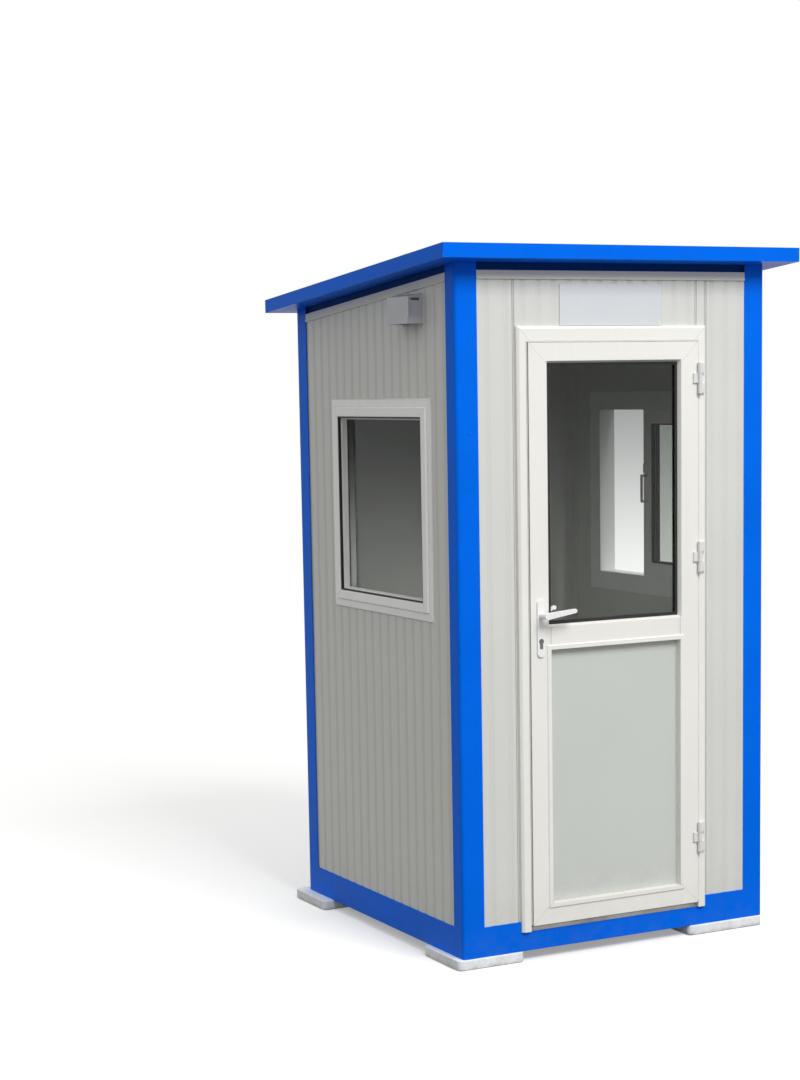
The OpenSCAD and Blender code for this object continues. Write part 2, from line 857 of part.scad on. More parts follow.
module key_cylinder() {
    reach = lock_plate_t + cylinder_proud;
    color("darkgoldenrod")
        difference() {
            cylinder_body(leaf_y0 - reach, leaf_y1 + reach, 0);
            block([handle_x - keyway_w / 2, leaf_y0 - reach - cut, lock_z - keyway_h / 2],
                  [handle_x + keyway_w / 2, leaf_y0 - reach + keyway_d, lock_z + keyway_h / 2]);
        }
}

// Lever outline: a larger round root and a smaller round end joined by tangents
module lever_outline() {
    span = lever_l - lever_end_r;
    lean = acos((lever_root_r - lever_end_r) / span);
    circle(r = lever_root_r);
    translate([span, 0]) circle(r = lever_end_r);
    polygon([[lever_root_r * cos(lean), lever_root_r * sin(lean)],
             [span + lever_end_r * cos(lean), lever_end_r * sin(lean)],
             [span + lever_end_r * cos(lean), -lever_end_r * sin(lean)],
             [lever_root_r * cos(lean), -lever_root_r * sin(lean)]]);
}

// Lever bar that lies between two Y values
module lever_bar(y0, y1) {
    translate([handle_x, y1, handle_z]) rotate([90, 0, 0]) rotate([0, 0, lever_rise])
        linear_extrude(y1 - y0) lever_outline();
}

module lever_handle() {
    outer = leaf_y0 - lock_plate_t - fit;
    inner = leaf_y1 + lock_plate_t + fit;
    color("white") {
        spindle_bar(outer - lever_out, inner + lever_out, spindle_r);
        spindle_bar(outer - lever_out, outer, neck_r);
        spindle_bar(inner, inner + lever_out, neck_r);
        lever_bar(outer - lever_out - lever_t / 2, outer - lever_out + lever_t / 2);
        lever_bar(inner + lever_out - lever_t / 2, inner + lever_out + lever_t / 2);
    }
}

// Windows, drawn from the middle of the lower edge of the outer flange, inwards along +Y

// Ring between an outer and an inner rectangle that share one middle
module ring(outer_w, outer_h, inner_w, inner_h, y0, y1) {
    difference() {
        block([-outer_w / 2, y0, win_h / 2 - outer_h / 2], [outer_w / 2, y1, win_h / 2 + outer_h / 2]);
        block([-inner_w / 2, y0 - cut, win_h / 2 - inner_h / 2],
              [inner_w / 2, y1 + cut, win_h / 2 + inner_h / 2]);
    }
}

module window_frame() {
    body_lap = 2 * win_flange;
    groove_lap = body_lap - 2 * win_groove_w;
    inner_trim = 2 * win_trim_out;
    union() {
        difference() {
            ring(win_w, win_h, clear_w, clear_h, -win_flange_t, 0);
            ring(win_w - groove_lap, win_h - groove_lap, win_w - body_lap, win_h - body_lap,
                 -win_flange_t - cut, win_groove_d - win_flange_t);
        }
        ring(win_w - body_lap, win_h - body_lap, clear_w, clear_h, -win_proud, wall_t);
        ring(win_w + inner_trim, win_h + inner_trim, clear_w, clear_h, wall_t, wall_t + win_flange_t);
    }
}

// Sash of a given width whose left edge lies at x0, with a groove for its glass
module sash(x0, w, y0) {
    z0 = win_face;
    z1 = win_h - win_face;
    pane_y0 = y0 + (sash_t - win_glass_t) / 2;
    groove = bite + fit;
    difference() {
        block([x0, y0, z0], [x0 + w, y0 + sash_t, z1]);
        block([x0 + sash_face, y0 - cut, z0 + sash_face],
              [x0 + w - sash_face, y0 + sash_t + cut, z1 - sash_face]);
        block([x0 + sash_face - groove, pane_y0 - fit, z0 + sash_face - groove],
              [x0 + w - sash_face + groove, pane_y0 + win_glass_t + fit, z1 - sash_face + groove]);
    }
}

// Pane held in the groove of a sash
module pane(x0, w, y0) {
    edge = sash_face - bite;
    pane_y0 = y0 + (sash_t - win_glass_t) / 2;
    block([x0 + edge, pane_y0, win_face + edge],
          [x0 + w - edge, pane_y0 + win_glass_t, win_h - win_face - edge]);
}

// Fixed pane of the left window, which reaches into its frame, widened by a clearance
fixed_pane_y = fixed_pane_in - win_proud;

module fixed_pane(extra) {
    reach = bite + extra;
    block([-clear_w / 2 - reach, fixed_pane_y - extra, win_face - reach],
          [clear_w / 2 + reach, fixed_pane_y + win_glass_t + extra, win_h - win_face + reach]);
}

module left_window_frame() {
    color("white")
        on_left_wall(left_win_y, win_bottom)
            difference() {
                window_frame();
                fixed_pane(fit);
            }
}

// Glazing bead on the outer side of the fixed pane
module left_window_sash() {
    color("white")
        on_left_wall(left_win_y, win_bottom)
            ring(clear_w, clear_h, clear_w - 2 * fixed_bead_w, clear_h - 2 * fixed_bead_w,
                 fixed_bead_in - win_proud, fixed_pane_y - fit);
}

module left_window_glass() {
    color("lightslategray") on_left_wall(left_win_y, win_bottom) fixed_pane(0);
}

module right_window_frame() {
    color("white") on_right_wall(right_win_y, win_bottom) window_frame();
}

// The fixed sash fills the front part of the window, and the sliding one is parked behind it
slide_x = park_gap - clear_w / 2;

module right_fixed_sash() {
    color("white") on_right_wall(right_win_y, win_bottom) sash(-clear_w / 2, half_sash_w, sash_in);
}

module right_sliding_sash() {
    color("white") on_right_wall(right_win_y, win_bottom) sash(slide_x, half_sash_w, inner_sash_in);
}

module right_window_glass() {
    color("lightslategray")
        on_right_wall(right_win_y, win_bottom) {
            pane(-clear_w / 2, half_sash_w, sash_in);
            pane(slide_x, half_sash_w, inner_sash_in);
        }
}

// Pull and latch on the leading stile of the sliding sash
module window_pull() {
    stile_x = slide_x + half_sash_w - sash_face / 2;
    face_y = inner_sash_in + sash_t;
    bar_y = face_y + pull_out - pull_r;
    low_z = pull_z - pull_h / 2 + pull_r;
    high_z = pull_z + pull_h / 2 - pull_r;
    color("whitesmoke")
        on_right_wall(right_win_y, win_bottom) {
            translate([stile_x, bar_y, low_z]) cylinder(r = pull_r, h = high_z - low_z);
            for (z = [low_z, high_z]) {
                translate([stile_x, bar_y, z]) sphere(r = pull_r);
                translate([stile_x, bar_y, z]) rotate([90, 0, 0])
                    cylinder(r = pull_r, h = bar_y - face_y);
            }
            block([stile_x - latch_w / 2, face_y, high_z + 2 * pull_r],
                  [stile_x + latch_w / 2, face_y + latch_out, high_z + 2 * pull_r + latch_h]);
        }
}

// Fittings

// Outline of the hood in Y and Z, from the wall to its outer face
module vent_outline(inset) {
    polygon([[0, inset > 0 ? -cut : 0], [-vent_out + inset, inset > 0 ? -cut : 0],
             [-vent_out + inset, vent_h - vent_slope - inset], [0, vent_h - inset]]);
}

// Hood that is open at the bottom, with a back plate, a wide front plate, a thicker band round
// its lower edge and a slot near the top of each side
module vent_hood() {
    far_y = -half_d + vent_y + vent_w;
    vent_top = wall_top(far_y) - trim_h - vent_drop;
    half = vent_w / 2;
    slot_z = vent_h - vent_slope - vent_plate_t - vent_slot_h;
    slot_y = -(vent_out + vent_slot_l) / 2;
    color("gainsboro")
        on_left_wall(-half_d + vent_y + half, vent_top - vent_h)
            difference() {
                union() {
                    along_x(-half, half) vent_outline(0);
                    block([-half - vent_rim, -vent_plate_t, 0], [half + vent_rim, 0, vent_h]);
                    block([-half - vent_rim, -vent_out, 0],
                          [half + vent_rim, vent_plate_t - vent_out, vent_h - vent_slope]);
                    block([-half - vent_rim, -vent_out - vent_rim, 0],
                          [half + vent_rim, 0, vent_band_h]);
                }
                along_x(-half + vent_wall, half - vent_wall) vent_outline(vent_wall);
                block([-half - cut, slot_y, slot_z],
                      [half + cut, slot_y + vent_slot_l, slot_z + vent_slot_h]);
            }
}

module sign_plate() {
    color("white")
        block([frame_x0 + sign_in, -panel_y - sign_t, frame_z1 + sign_gap],
              [frame_x0 + sign_in + sign_w, -panel_y, frame_z1 + sign_gap + sign_h]);
}

support_pads();
base_front();
base_back();
base_left();
base_right();
floor_panel();
post_front_left();
post_front_right();
post_back_left();
post_back_right();
front_wall_left();
front_wall_right();
front_wall_header();
left_wall();
right_wall();
back_wall();
wall_top_trim();
inside_corner_angles();
roof_rails();
roof_panel();
roof_edge_front();
roof_edge_back();
roof_edge_left();
roof_edge_right();
door_frame();
door_threshold();
door_leaf();
door_glass();
door_lower_panel();
hinge_frame_halves();
hinge_leaf_halves();
lock_plates();
key_cylinder();
lever_handle();
left_window_frame();
left_window_sash();
left_window_glass();
right_window_frame();
right_fixed_sash();
right_sliding_sash();
right_window_glass();
window_pull();
vent_hood();
sign_plate();
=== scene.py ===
"""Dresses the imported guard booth: finishes, gaskets, sealant, small fasteners, floor, lamp and camera.

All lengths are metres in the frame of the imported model: +Z up, the door facing -Y.
"""

import logging
import math
from collections.abc import Sequence
from dataclasses import dataclass, field
from enum import Enum
from typing import ClassVar

import bmesh
import bpy
from mathutils import Matrix, Vector


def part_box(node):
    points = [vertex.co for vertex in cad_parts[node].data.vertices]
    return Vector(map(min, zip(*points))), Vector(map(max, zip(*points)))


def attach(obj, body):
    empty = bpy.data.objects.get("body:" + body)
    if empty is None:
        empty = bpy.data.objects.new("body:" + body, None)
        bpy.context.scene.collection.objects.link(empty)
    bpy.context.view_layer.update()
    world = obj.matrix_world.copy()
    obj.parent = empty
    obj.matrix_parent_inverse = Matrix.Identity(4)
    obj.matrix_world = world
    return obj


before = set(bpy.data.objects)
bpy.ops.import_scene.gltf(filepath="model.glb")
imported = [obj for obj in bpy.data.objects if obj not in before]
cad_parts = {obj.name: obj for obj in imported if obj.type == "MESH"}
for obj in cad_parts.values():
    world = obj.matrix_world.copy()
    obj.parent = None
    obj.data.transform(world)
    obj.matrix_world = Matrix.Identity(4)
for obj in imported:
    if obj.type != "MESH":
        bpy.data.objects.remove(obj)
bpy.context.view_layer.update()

log = logging.getLogger("booth")

Colour = tuple[float, float, float]
Point = tuple[float, float, float]
Pair = tuple[float, float]
Socket = bpy.types.NodeSocket
Material = bpy.types.Material

WHITE = (1.0, 1.0, 1.0, 1.0)

# Distance that keeps two faces out of one plane, and how deep a piece sits in the one that carries it
HAIR = 0.0001
SINK = 0.0002


class Body(str, Enum):
    """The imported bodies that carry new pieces."""

    BOOTH = "booth"
    DOOR = "door"


class Facing(Enum):
    """A side that a piece lies on, as its across, up and outward directions."""

    FRONT = ((1, 0, 0), (0, 0, 1), (0, -1, 0))
    BACK = ((1, 0, 0), (0, 0, 1), (0, 1, 0))
    LEFT = ((0, 1, 0), (0, 0, 1), (-1, 0, 0))
    RIGHT = ((0, 1, 0), (0, 0, 1), (1, 0, 0))
    TOP = ((1, 0, 0), (0, 1, 0), (0, 0, 1))
    UNDER = ((1, 0, 0), (0, 1, 0), (0, 0, -1))

    @property
    def axis(self) -> str:
        """Names the axis that runs across the side."""
        return "Y" if self in (Facing.LEFT, Facing.RIGHT) else "X"

    @property
    def out(self) -> int:
        """Gives -1 or 1, the way along X that a left or right side faces."""
        return self.value[2][0]

    def at(self, place: Sequence[float]) -> Matrix:
        """Gives the matrix that puts a local across, up, out shape at a place.

        Args:
            place: The place.

        Returns:
            The matrix.
        """
        across, up, out = (Vector(direction) for direction in self.value)
        turn = Matrix((across, up, out)).transposed().to_4x4()
        return Matrix.Translation(Vector(place)) @ turn


# Nodes of materials


class Graph:
    """Short calls that make and join the nodes of one tree."""

    def __init__(self, tree: bpy.types.NodeTree) -> None:
        """Keeps the tree that the nodes go into."""
        self.tree = tree

    def node(self, kind: str, **settings: object) -> bpy.types.Node:
        """Adds a shader node.

        Args:
            kind: The node's type without its prefix.
            **settings: Attributes to set on the node.

        Returns:
            The new node.
        """
        made = self.tree.nodes.new("ShaderNode" + kind)
        for name, value in settings.items():
            setattr(made, name, value)
        return made

    def found(self, kind: str) -> bpy.types.Node:
        """Finds the tree's first node of a type."""
        return next(entry for entry in self.tree.nodes if entry.type == kind)

    def put(self, socket: Socket, value: object) -> None:
        """Joins a socket to another one, or sets it to a plain value.

        Args:
            socket: The socket that receives.
            value: A socket, a number, a colour or a vector.
        """
        if isinstance(value, bpy.types.NodeSocket):
            self.tree.links.new(value, socket)
        else:
            socket.default_value = value

    def coords(self) -> Socket:
        """Gives the piece's own coordinates, in metres."""
        return self.node("TexCoord").outputs["Object"]

    def apart(self, vector: object) -> bpy.types.NodeOutputs:
        """Splits coordinates.

        Args:
            vector: The coordinates.

        Returns:
            The outputs X, Y and Z.
        """
        made = self.node("SeparateXYZ")
        self.put(made.inputs[0], vector)
        return made.outputs

    def scaled(self, vector: object, scale: Point) -> Socket:
        """Scales a pattern's coordinates.

        Args:
            vector: The coordinates.
            scale: Factor along each axis.

        Returns:
            The changed coordinates.
        """
        mapping = self.node("Mapping")
        self.put(mapping.inputs["Vector"], vector)
        mapping.inputs["Scale"].default_value = scale
        return mapping.outputs["Vector"]

    def noise(self, vector: object, scale: object, detail: float = 3.0, rough: float = 0.5) -> Socket:
        """Adds a noise pattern.

        Args:
            vector: The coordinates.
            scale: Size of the pattern, as a number or a socket.
            detail: Number of finer layers.
            rough: Weight of the finer layers.

        Returns:
            The pattern, from 0 to 1 about a middle of 0.5.
        """
        made = self.node("TexNoise")
        self.put(made.inputs["Vector"], vector)
        self.put(made.inputs["Scale"], scale)
        made.inputs["Detail"].default_value = detail
        made.inputs["Roughness"].default_value = rough
        return made.outputs["Fac"]

    def math(self, operation: str, *terms: object, clamp: bool = False) -> Socket:
        """Joins numbers by an operation.

        Args:
            operation: The operation's name.
            *terms: Its numbers or sockets.
            clamp: Whether the result is kept from 0 to 1.

        Returns:
            The result.
        """
        made = self.node("Math", operation=operation, use_clamp=clamp)
        for index, term in enumerate(terms):
            self.put(made.inputs[index], term)
        return made.outputs[0]

    def fit(self, value: object, low: object, high: object, to_low: float = 0.0, to_high: float = 1.0,
            smooth: bool = True) -> Socket:
        """Maps one range of a number onto another, with soft ends.

        Args:
            value: The number or socket.
            low: Start of its range.
            high: End of its range.
            to_low: What the start becomes.
            to_high: What the end becomes.
            smooth: Whether the ends are soft.

        Returns:
            The mapped number.
        """
        made = self.node("MapRange", interpolation_type="SMOOTHSTEP" if smooth else "LINEAR")
        for index, entry in enumerate((value, low, high, to_low, to_high)):
            self.put(made.inputs[index], entry)
        return made.outputs["Result"]

    def blend(self, factor: object, first: object, second: object) -> Socket:
        """Blends two colours.

        Args:
            factor: Share of the second colour.
            first: The first colour or socket.
            second: The second colour or socket.

        Returns:
            The blended colour.
        """
        made = self.node("Mix", data_type="RGBA")
        self.put(made.inputs[0], factor)
        for index, entry in ((6, first), (7, second)):
            self.put(made.inputs[index], (*entry, 1.0) if isinstance(entry, tuple) else entry)
        return made.outputs[2]

    def bump(self, height: object, distance: float, strength: float = 1.0, normal: object = None) -> Socket:
        """Turns a height into a bumpy normal.

        Args:
            height: The height pattern.
            distance: Height of the bumps in metres.
            strength: Share of the bumps that shows.
            normal: A normal from an earlier bump.

        Returns:
            The normal.
        """
        made = self.node("Bump")
        made.inputs["Strength"].default_value = strength
        made.inputs["Distance"].default_value = distance
        self.put(made.inputs["Height"], height)
        if normal is not None:
            self.put(made.inputs["Normal"], normal)
        return made.outputs["Normal"]

    def effect(self, tree: bpy.types.NodeTree, **inputs: object) -> Socket:
        """Adds a shared effect and joins its inputs.

        Args:
            tree: The effect's node group.
            **inputs: Values or sockets by the input's name.

        Returns:
            The effect's one output.
        """
        made = self.tree.nodes.new("ShaderNodeGroup")
        made.node_tree = tree
        for name, value in inputs.items():
            self.put(made.inputs[name], value)
        return made.outputs[0]

    def mix(self, factor: Socket, first: Socket, second: Socket) -> Socket:
        """Mixes two shaders.

        Args:
            factor: Share of the second shader.
            first: The first shader.
            second: The second shader.

        Returns:
            The mixed shader.
        """
        made = self.node("MixShader")
        for index, entry in enumerate((factor, first, second)):
            self.put(made.inputs[index], entry)
        return made.outputs["Shader"]

    def show(self, shader: Socket, output: str = "OUTPUT_MATERIAL") -> None:
        """Joins a shader to the output of the material or the world."""
        self.put(self.found(output).inputs["Surface"], shader)

    def seen(self) -> Socket:
        """Tells what the camera sees from what only lights the booth.

        Returns:
            1 for what is seen, in gloss and through glass too, and 0 for other rays.
        """
        path = self.node("LightPath").outputs
        seen = self.math("MAXIMUM", path["Is Camera Ray"], path["Is Glossy Ray"])
        return self.math("MAXIMUM", seen, path["Is Transmission Ray"])


class Effects:
    """Shared surface effects, each made once as a node group that puts out one value."""

    def __init__(self) -> None:
        """Makes the groups."""
        self.wear = self._wear()
        self.dust = self._dust()
        self.streaks = self._streaks()
        self.mottle = self._mottle()
        self.mitre = self._mitre()
        self.groove_shade = self._groove_shade()

    @staticmethod
    def _group(name: str, inputs: dict[str, object],
               output: str = "Mask") -> tuple[Graph, bpy.types.NodeOutputs, Socket]:
        """Starts a node group.

        Args:
            name: The group's name.
            inputs: Default value of each input by name; a tuple makes a vector.
            output: The output's name.

        Returns:
            The graph, what its input node puts out and the socket that its result goes to.
        """
        tree = bpy.data.node_groups.new(name, "ShaderNodeTree")
        for entry, value in inputs.items():
            kind = "NodeSocketVector" if isinstance(value, tuple) else "NodeSocketFloat"
            socket = tree.interface.new_socket(entry, in_out="INPUT", socket_type=kind)
            socket.default_value = value
        tree.interface.new_socket(output, in_out="OUTPUT", socket_type="NodeSocketFloat")
        start, end = tree.nodes.new("NodeGroupInput"), tree.nodes.new("NodeGroupOutput")
        return Graph(tree), start.outputs, end.inputs[0]

    def _wear(self) -> bpy.types.NodeTree:
        """Makes the mask of broken marks along edges.

        Returns:
            The node group.
        """
        graph, given, out = self._group(
            "edge_wear", {"Coords": (0.0, 0.0, 0.0), "Radius": 0.003, "Breakup": 40.0, "Amount": 0.5})
        round_normal = graph.node("Bevel", samples=4)
        graph.put(round_normal.inputs["Radius"], given["Radius"])
        dot = graph.node("VectorMath", operation="DOT_PRODUCT")
        graph.put(dot.inputs[0], round_normal.outputs["Normal"])
        graph.put(dot.inputs[1], graph.node("NewGeometry").outputs["Normal"])
        edge = graph.fit(dot.outputs["Value"], 0.97, 0.75)
        marks = graph.noise(given["Coords"], given["Breakup"], detail=4.0, rough=0.6)
        mask = graph.math("MULTIPLY", edge, graph.fit(marks, 0.46, 0.62))
        graph.put(out, graph.math("MULTIPLY", mask, given["Amount"], clamp=True))
        return graph.tree

    def _dust(self) -> bpy.types.NodeTree:
        """Makes the mask of dirt that thins out with height above a level.

        Returns:
            The node group.
        """
        graph, given, out = self._group(
            "low_dust", {"Coords": (0.0, 0.0, 0.0), "Level": 0.03, "Reach": 0.25, "Amount": 0.5})
        above = graph.math("SUBTRACT", graph.apart(given["Coords"])["Z"], given["Level"])
        share = graph.math("DIVIDE", above, given["Reach"])
        fade = graph.math("POWER", graph.fit(share, 1.0, 0.0), 1.6)
        splash = graph.noise(given["Coords"], scale=24.0, detail=6.0, rough=0.62)
        mask = graph.math("MULTIPLY", fade, graph.fit(splash, 0.3, 0.75))
        graph.put(out, graph.math("MULTIPLY", mask, given["Amount"], clamp=True))
        return graph.tree

    def _streaks(self) -> bpy.types.NodeTree:
        """Makes the mask of faint upright rain streaks.

        Returns:
            The node group.
        """
        graph, given, out = self._group(
            "rain_streaks", {"Coords": (0.0, 0.0, 0.0), "Fineness": 26.0, "Amount": 0.5})
        long = graph.scaled(given["Coords"], (1.0, 1.0, 0.035))
        fine = graph.noise(long, given["Fineness"], detail=4.0, rough=0.65)
        patch = graph.noise(given["Coords"], scale=2.2, detail=2.0)
        mask = graph.math("MULTIPLY", graph.fit(fine, 0.5, 0.78), graph.fit(patch, 0.35, 0.7))
        graph.put(out, graph.math("MULTIPLY", mask, given["Amount"], clamp=True))
        return graph.tree

    def _mottle(self) -> bpy.types.NodeTree:
        """Makes a soft value of 0 to 1 from a coarse and a fine noise.

        Returns:
            The node group.
        """
        graph, given, out = self._group(
            "mottle", {"Coords": (0.0, 0.0, 0.0), "Coarse": 3.0, "Fine": 60.0, "Share": 0.4}, "Value")
        mixed = graph.node("Mix", data_type="FLOAT")
        graph.put(mixed.inputs[0], given["Share"])
        graph.put(mixed.inputs[2], graph.noise(given["Coords"], given["Coarse"], detail=3.0, rough=0.55))
        graph.put(mixed.inputs[3], graph.noise(given["Coords"], given["Fine"], detail=5.0, rough=0.6))
        graph.put(out, graph.fit(mixed.outputs[0], 0.25, 0.75))
        return graph.tree

    def _mitre(self) -> bpy.types.NodeTree:
        """Makes the mask of the fine seams where a frame's lengths meet at its corners.

        Returns:
            The node group.
        """
        graph, given, out = self._group(
            "mitre_seam",
            {"Across": 0.0, "Up": 0.0, "Half_width": 0.3, "Half_height": 1.0, "Seam": 0.0012})
        side, end = (
            graph.math("SUBTRACT", graph.math("ABSOLUTE", given[place]), given[half])
            for place, half in (("Across", "Half_width"), ("Up", "Half_height")))
        off = graph.math("ABSOLUTE", graph.math("SUBTRACT", side, end))
        graph.put(out, graph.fit(off, given["Seam"], 0.0))
        return graph.tree

    def _groove_shade(self) -> bpy.types.NodeTree:
        """Makes the mask of painted shade in the pressed grooves, which lie a little inside the walls' outer
        faces.

        Returns:
            The node group.
        """
        graph, given, out = self._group(
            "groove_painted_shade", {"Coords": (0.0, 0.0, 0.0), "Face": 0.597, "Depth": 0.0018})
        place = graph.apart(given["Coords"])
        far = graph.math("MAXIMUM", graph.math("ABSOLUTE", place["X"]), graph.math("ABSOLUTE", place["Y"]))
        inside = graph.math("SUBTRACT", given["Face"], far)
        floor = graph.fit(graph.math("DIVIDE", inside, given["Depth"]), 0.1, 1.0)
        outer = graph.math("LESS_THAN", inside, 0.01)
        graph.put(out, graph.math("MULTIPLY", floor, outer))
        return graph.tree


def new_material(name: str) -> tuple[Material, Graph, bpy.types.NodeInputs]:
    """Starts a material with one Principled shader.

    Args:
        name: The material's name.

    Returns:
        The material, its graph and its Principled node's inputs.
    """
    material = bpy.data.materials.new(name)
    material.use_nodes = True
    graph = Graph(material.node_tree)
    return material, graph, graph.found("BSDF_PRINCIPLED").inputs


def shade(colour: Colour, factor: float) -> Colour:
    """Darkens a colour by a factor."""
    return tuple(factor * part for part in colour)


# Finishes


@dataclass(frozen=True)
class PaintedSheet:
    """Folded sheet metal under a smooth factory paint."""

    name: str
    colour: Colour
    worn: Colour = (0.30, 0.36, 0.44)
    dirt: Colour = (0.27, 0.20, 0.14)
    rough: float = 0.34
    shine: float = 0.04
    dirt_reach: float = 0.16
    dirt_amount: float = 0.06

    def build(self, effects: Effects) -> Material:
        """Makes the paint, with orange peel, worn edges and splashed dirt near the ground.

        Args:
            effects: The shared effects.

        Returns:
            The material.
        """
        material, graph, shader = new_material(self.name)
        coords = graph.coords()
        cloud = graph.effect(effects.mottle, Coords=coords, Coarse=4.0, Fine=45.0, Share=0.3)
        colour = graph.blend(cloud, shade(self.colour, 0.88), self.colour)
        wear = graph.effect(effects.wear, Coords=coords, Radius=0.0025, Breakup=55.0, Amount=0.35)
        colour = graph.blend(wear, colour, self.worn)
        dust = graph.effect(
            effects.dust, Coords=coords, Level=0.035, Reach=self.dirt_reach, Amount=self.dirt_amount)
        graph.put(shader["Base Color"], graph.blend(dust, colour, self.dirt))
        gloss = graph.math("MULTIPLY_ADD", cloud, 0.10, self.rough - 0.05)
        graph.put(shader["Roughness"], graph.math("MULTIPLY_ADD", dust, 0.4, gloss))
        peel = graph.bump(graph.noise(coords, scale=320.0, detail=2.0), distance=0.0002, strength=0.35)
        wave = graph.noise(graph.scaled(coords, (1.0, 1.0, 0.3)), scale=5.0, detail=1.0)
        graph.put(shader["Normal"], graph.bump(wave, distance=0.0012, strength=0.6, normal=peel))
        graph.put(shader["Specular IOR Level"], self.shine)
        return material


@dataclass(frozen=True)
class PanelSheet:
    """Coated steel skin of the wall and roof panels."""

    name: str
    colour: Colour
    dark: Colour
    dirt: Colour = (0.36, 0.30, 0.23)
    rough: float = 0.48
    shine: float = 0.28
    groove_shade: float = 0.0

    def build(self, effects: Effects) -> Material:
        """Makes the coating, with faint streaks, gentle waves, dirt along its foot and painted shade in its
        grooves.

        Args:
            effects: The shared effects.

        Returns:
            The material.
        """
        material, graph, shader = new_material(self.name)
        coords = graph.coords()
        cloud = graph.effect(effects.mottle, Coords=coords, Coarse=2.2, Fine=70.0, Share=0.25)
        colour = graph.blend(cloud, self.dark, self.colour)
        streak = graph.effect(effects.streaks, Coords=coords, Fineness=22.0, Amount=0.22)
        colour = graph.blend(streak, colour, shade(self.colour, 0.72))
        # Painted shade: the floors of the grooves are darkened by the given share
        if self.groove_shade:
            groove_shade_mask = graph.math("MULTIPLY", graph.effect(effects.groove_shade, Coords=coords), self.groove_shade)
            colour = graph.blend(groove_shade_mask, colour, shade(self.colour, 0.5))
        dust = graph.effect(effects.dust, Coords=coords, Level=0.12, Reach=0.26, Amount=0.12)
        graph.put(shader["Base Color"], graph.blend(dust, colour, self.dirt))
        gloss = graph.fit(cloud, 0.0, 1.0, self.rough - 0.04, self.rough + 0.08, smooth=False)
        graph.put(shader["Roughness"], gloss)
        emboss = graph.bump(graph.noise(coords, scale=240.0, rough=0.6), distance=0.0002, strength=0.4)
        wave = graph.noise(graph.scaled(coords, (1.0, 1.0, 0.22)), scale=3.4, detail=1.0)
        graph.put(shader["Normal"], graph.bump(wave, distance=0.002, strength=0.5, normal=emboss))
        graph.put(shader["Specular IOR Level"], self.shine)
        return material


@dataclass(frozen=True)
class ProfileSeam:
    """Outline whose corners carry mitre seams on a profile's face."""

    facing: Facing
    centre: Pair
    half: Pair

    @classmethod
    def around(cls, node: str, facing: Facing, inset: float = 0.0, open_foot: bool = False) -> "ProfileSeam":
        """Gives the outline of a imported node.

        Args:
            node: The node's name.
            facing: The side that its face lies on.
            inset: How far the outline lies inside the node's box.
            open_foot: Whether the node has no lower length.

        Returns:
            The outline.
        """
        low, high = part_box(node)
        mid, half = (low + high) / 2, (high - low) / 2
        across = facing.axis.lower()
        centre_z, half_z = (low.z, 2 * half.z) if open_foot else (mid.z, half.z - inset)
        return cls(facing, (getattr(mid, across), centre_z), (getattr(half, across) - inset, half_z))


@dataclass(frozen=True)
class WhiteProfile:
    """Smooth white window and door profile."""

    name: str
    colour: Colour = (0.82, 0.81, 0.765)
    grime: Colour = (0.33, 0.31, 0.27)
    dirt: Colour = (0.38, 0.31, 0.23)
    rough: float = 0.3
    shine: float = 0.35
    dirt_level: float = 0.1
    dirt_reach: float = 0.2
    seams: tuple[ProfileSeam, ...] = ()

    def build(self, effects: Effects) -> Material:
        """Makes the profile's skin, with grimy corners, faint streaks and mitre seams.

        Args:
            effects: The shared effects.

        Returns:
            The material.
        """
        material, graph, shader = new_material(self.name)
        coords = graph.coords()
        cloud = graph.effect(effects.mottle, Coords=coords, Coarse=3.2, Fine=90.0, Share=0.3)
        colour = graph.blend(cloud, shade(self.colour, 0.955), self.colour)
        grime = graph.effect(effects.wear, Coords=coords, Radius=0.004, Breakup=18.0, Amount=0.30)
        colour = graph.blend(grime, colour, self.grime)
        streak = graph.effect(effects.streaks, Coords=coords, Fineness=40.0, Amount=0.10)
        colour = graph.blend(streak, colour, self.grime)
        dust = graph.effect(
            effects.dust, Coords=coords, Level=self.dirt_level, Reach=self.dirt_reach, Amount=0.10)
        colour = graph.blend(dust, colour, self.dirt)
        normal = graph.bump(graph.noise(coords, scale=150.0), distance=0.0001, strength=0.3)
        place = graph.apart(coords)
        for seam in self.seams:
            mask = graph.effect(
                effects.mitre,
                Across=graph.math("SUBTRACT", place[seam.facing.axis], seam.centre[0]),
                Up=graph.math("SUBTRACT", place["Z"], seam.centre[1]),
                Half_width=seam.half[0], Half_height=seam.half[1])
            colour = graph.blend(graph.math("MULTIPLY", mask, 0.55), colour, self.grime)
            sunk = graph.math("SUBTRACT", 1.0, mask)
            normal = graph.bump(sunk, distance=0.0006, strength=0.8, normal=normal)
        graph.put(shader["Base Color"], colour)
        graph.put(shader["Roughness"], graph.fit(cloud, 0.0, 1.0, self.rough, self.rough + 0.1, smooth=False))
        graph.put(shader["Normal"], normal)
        graph.put(shader["Specular IOR Level"], self.shine)
        return material


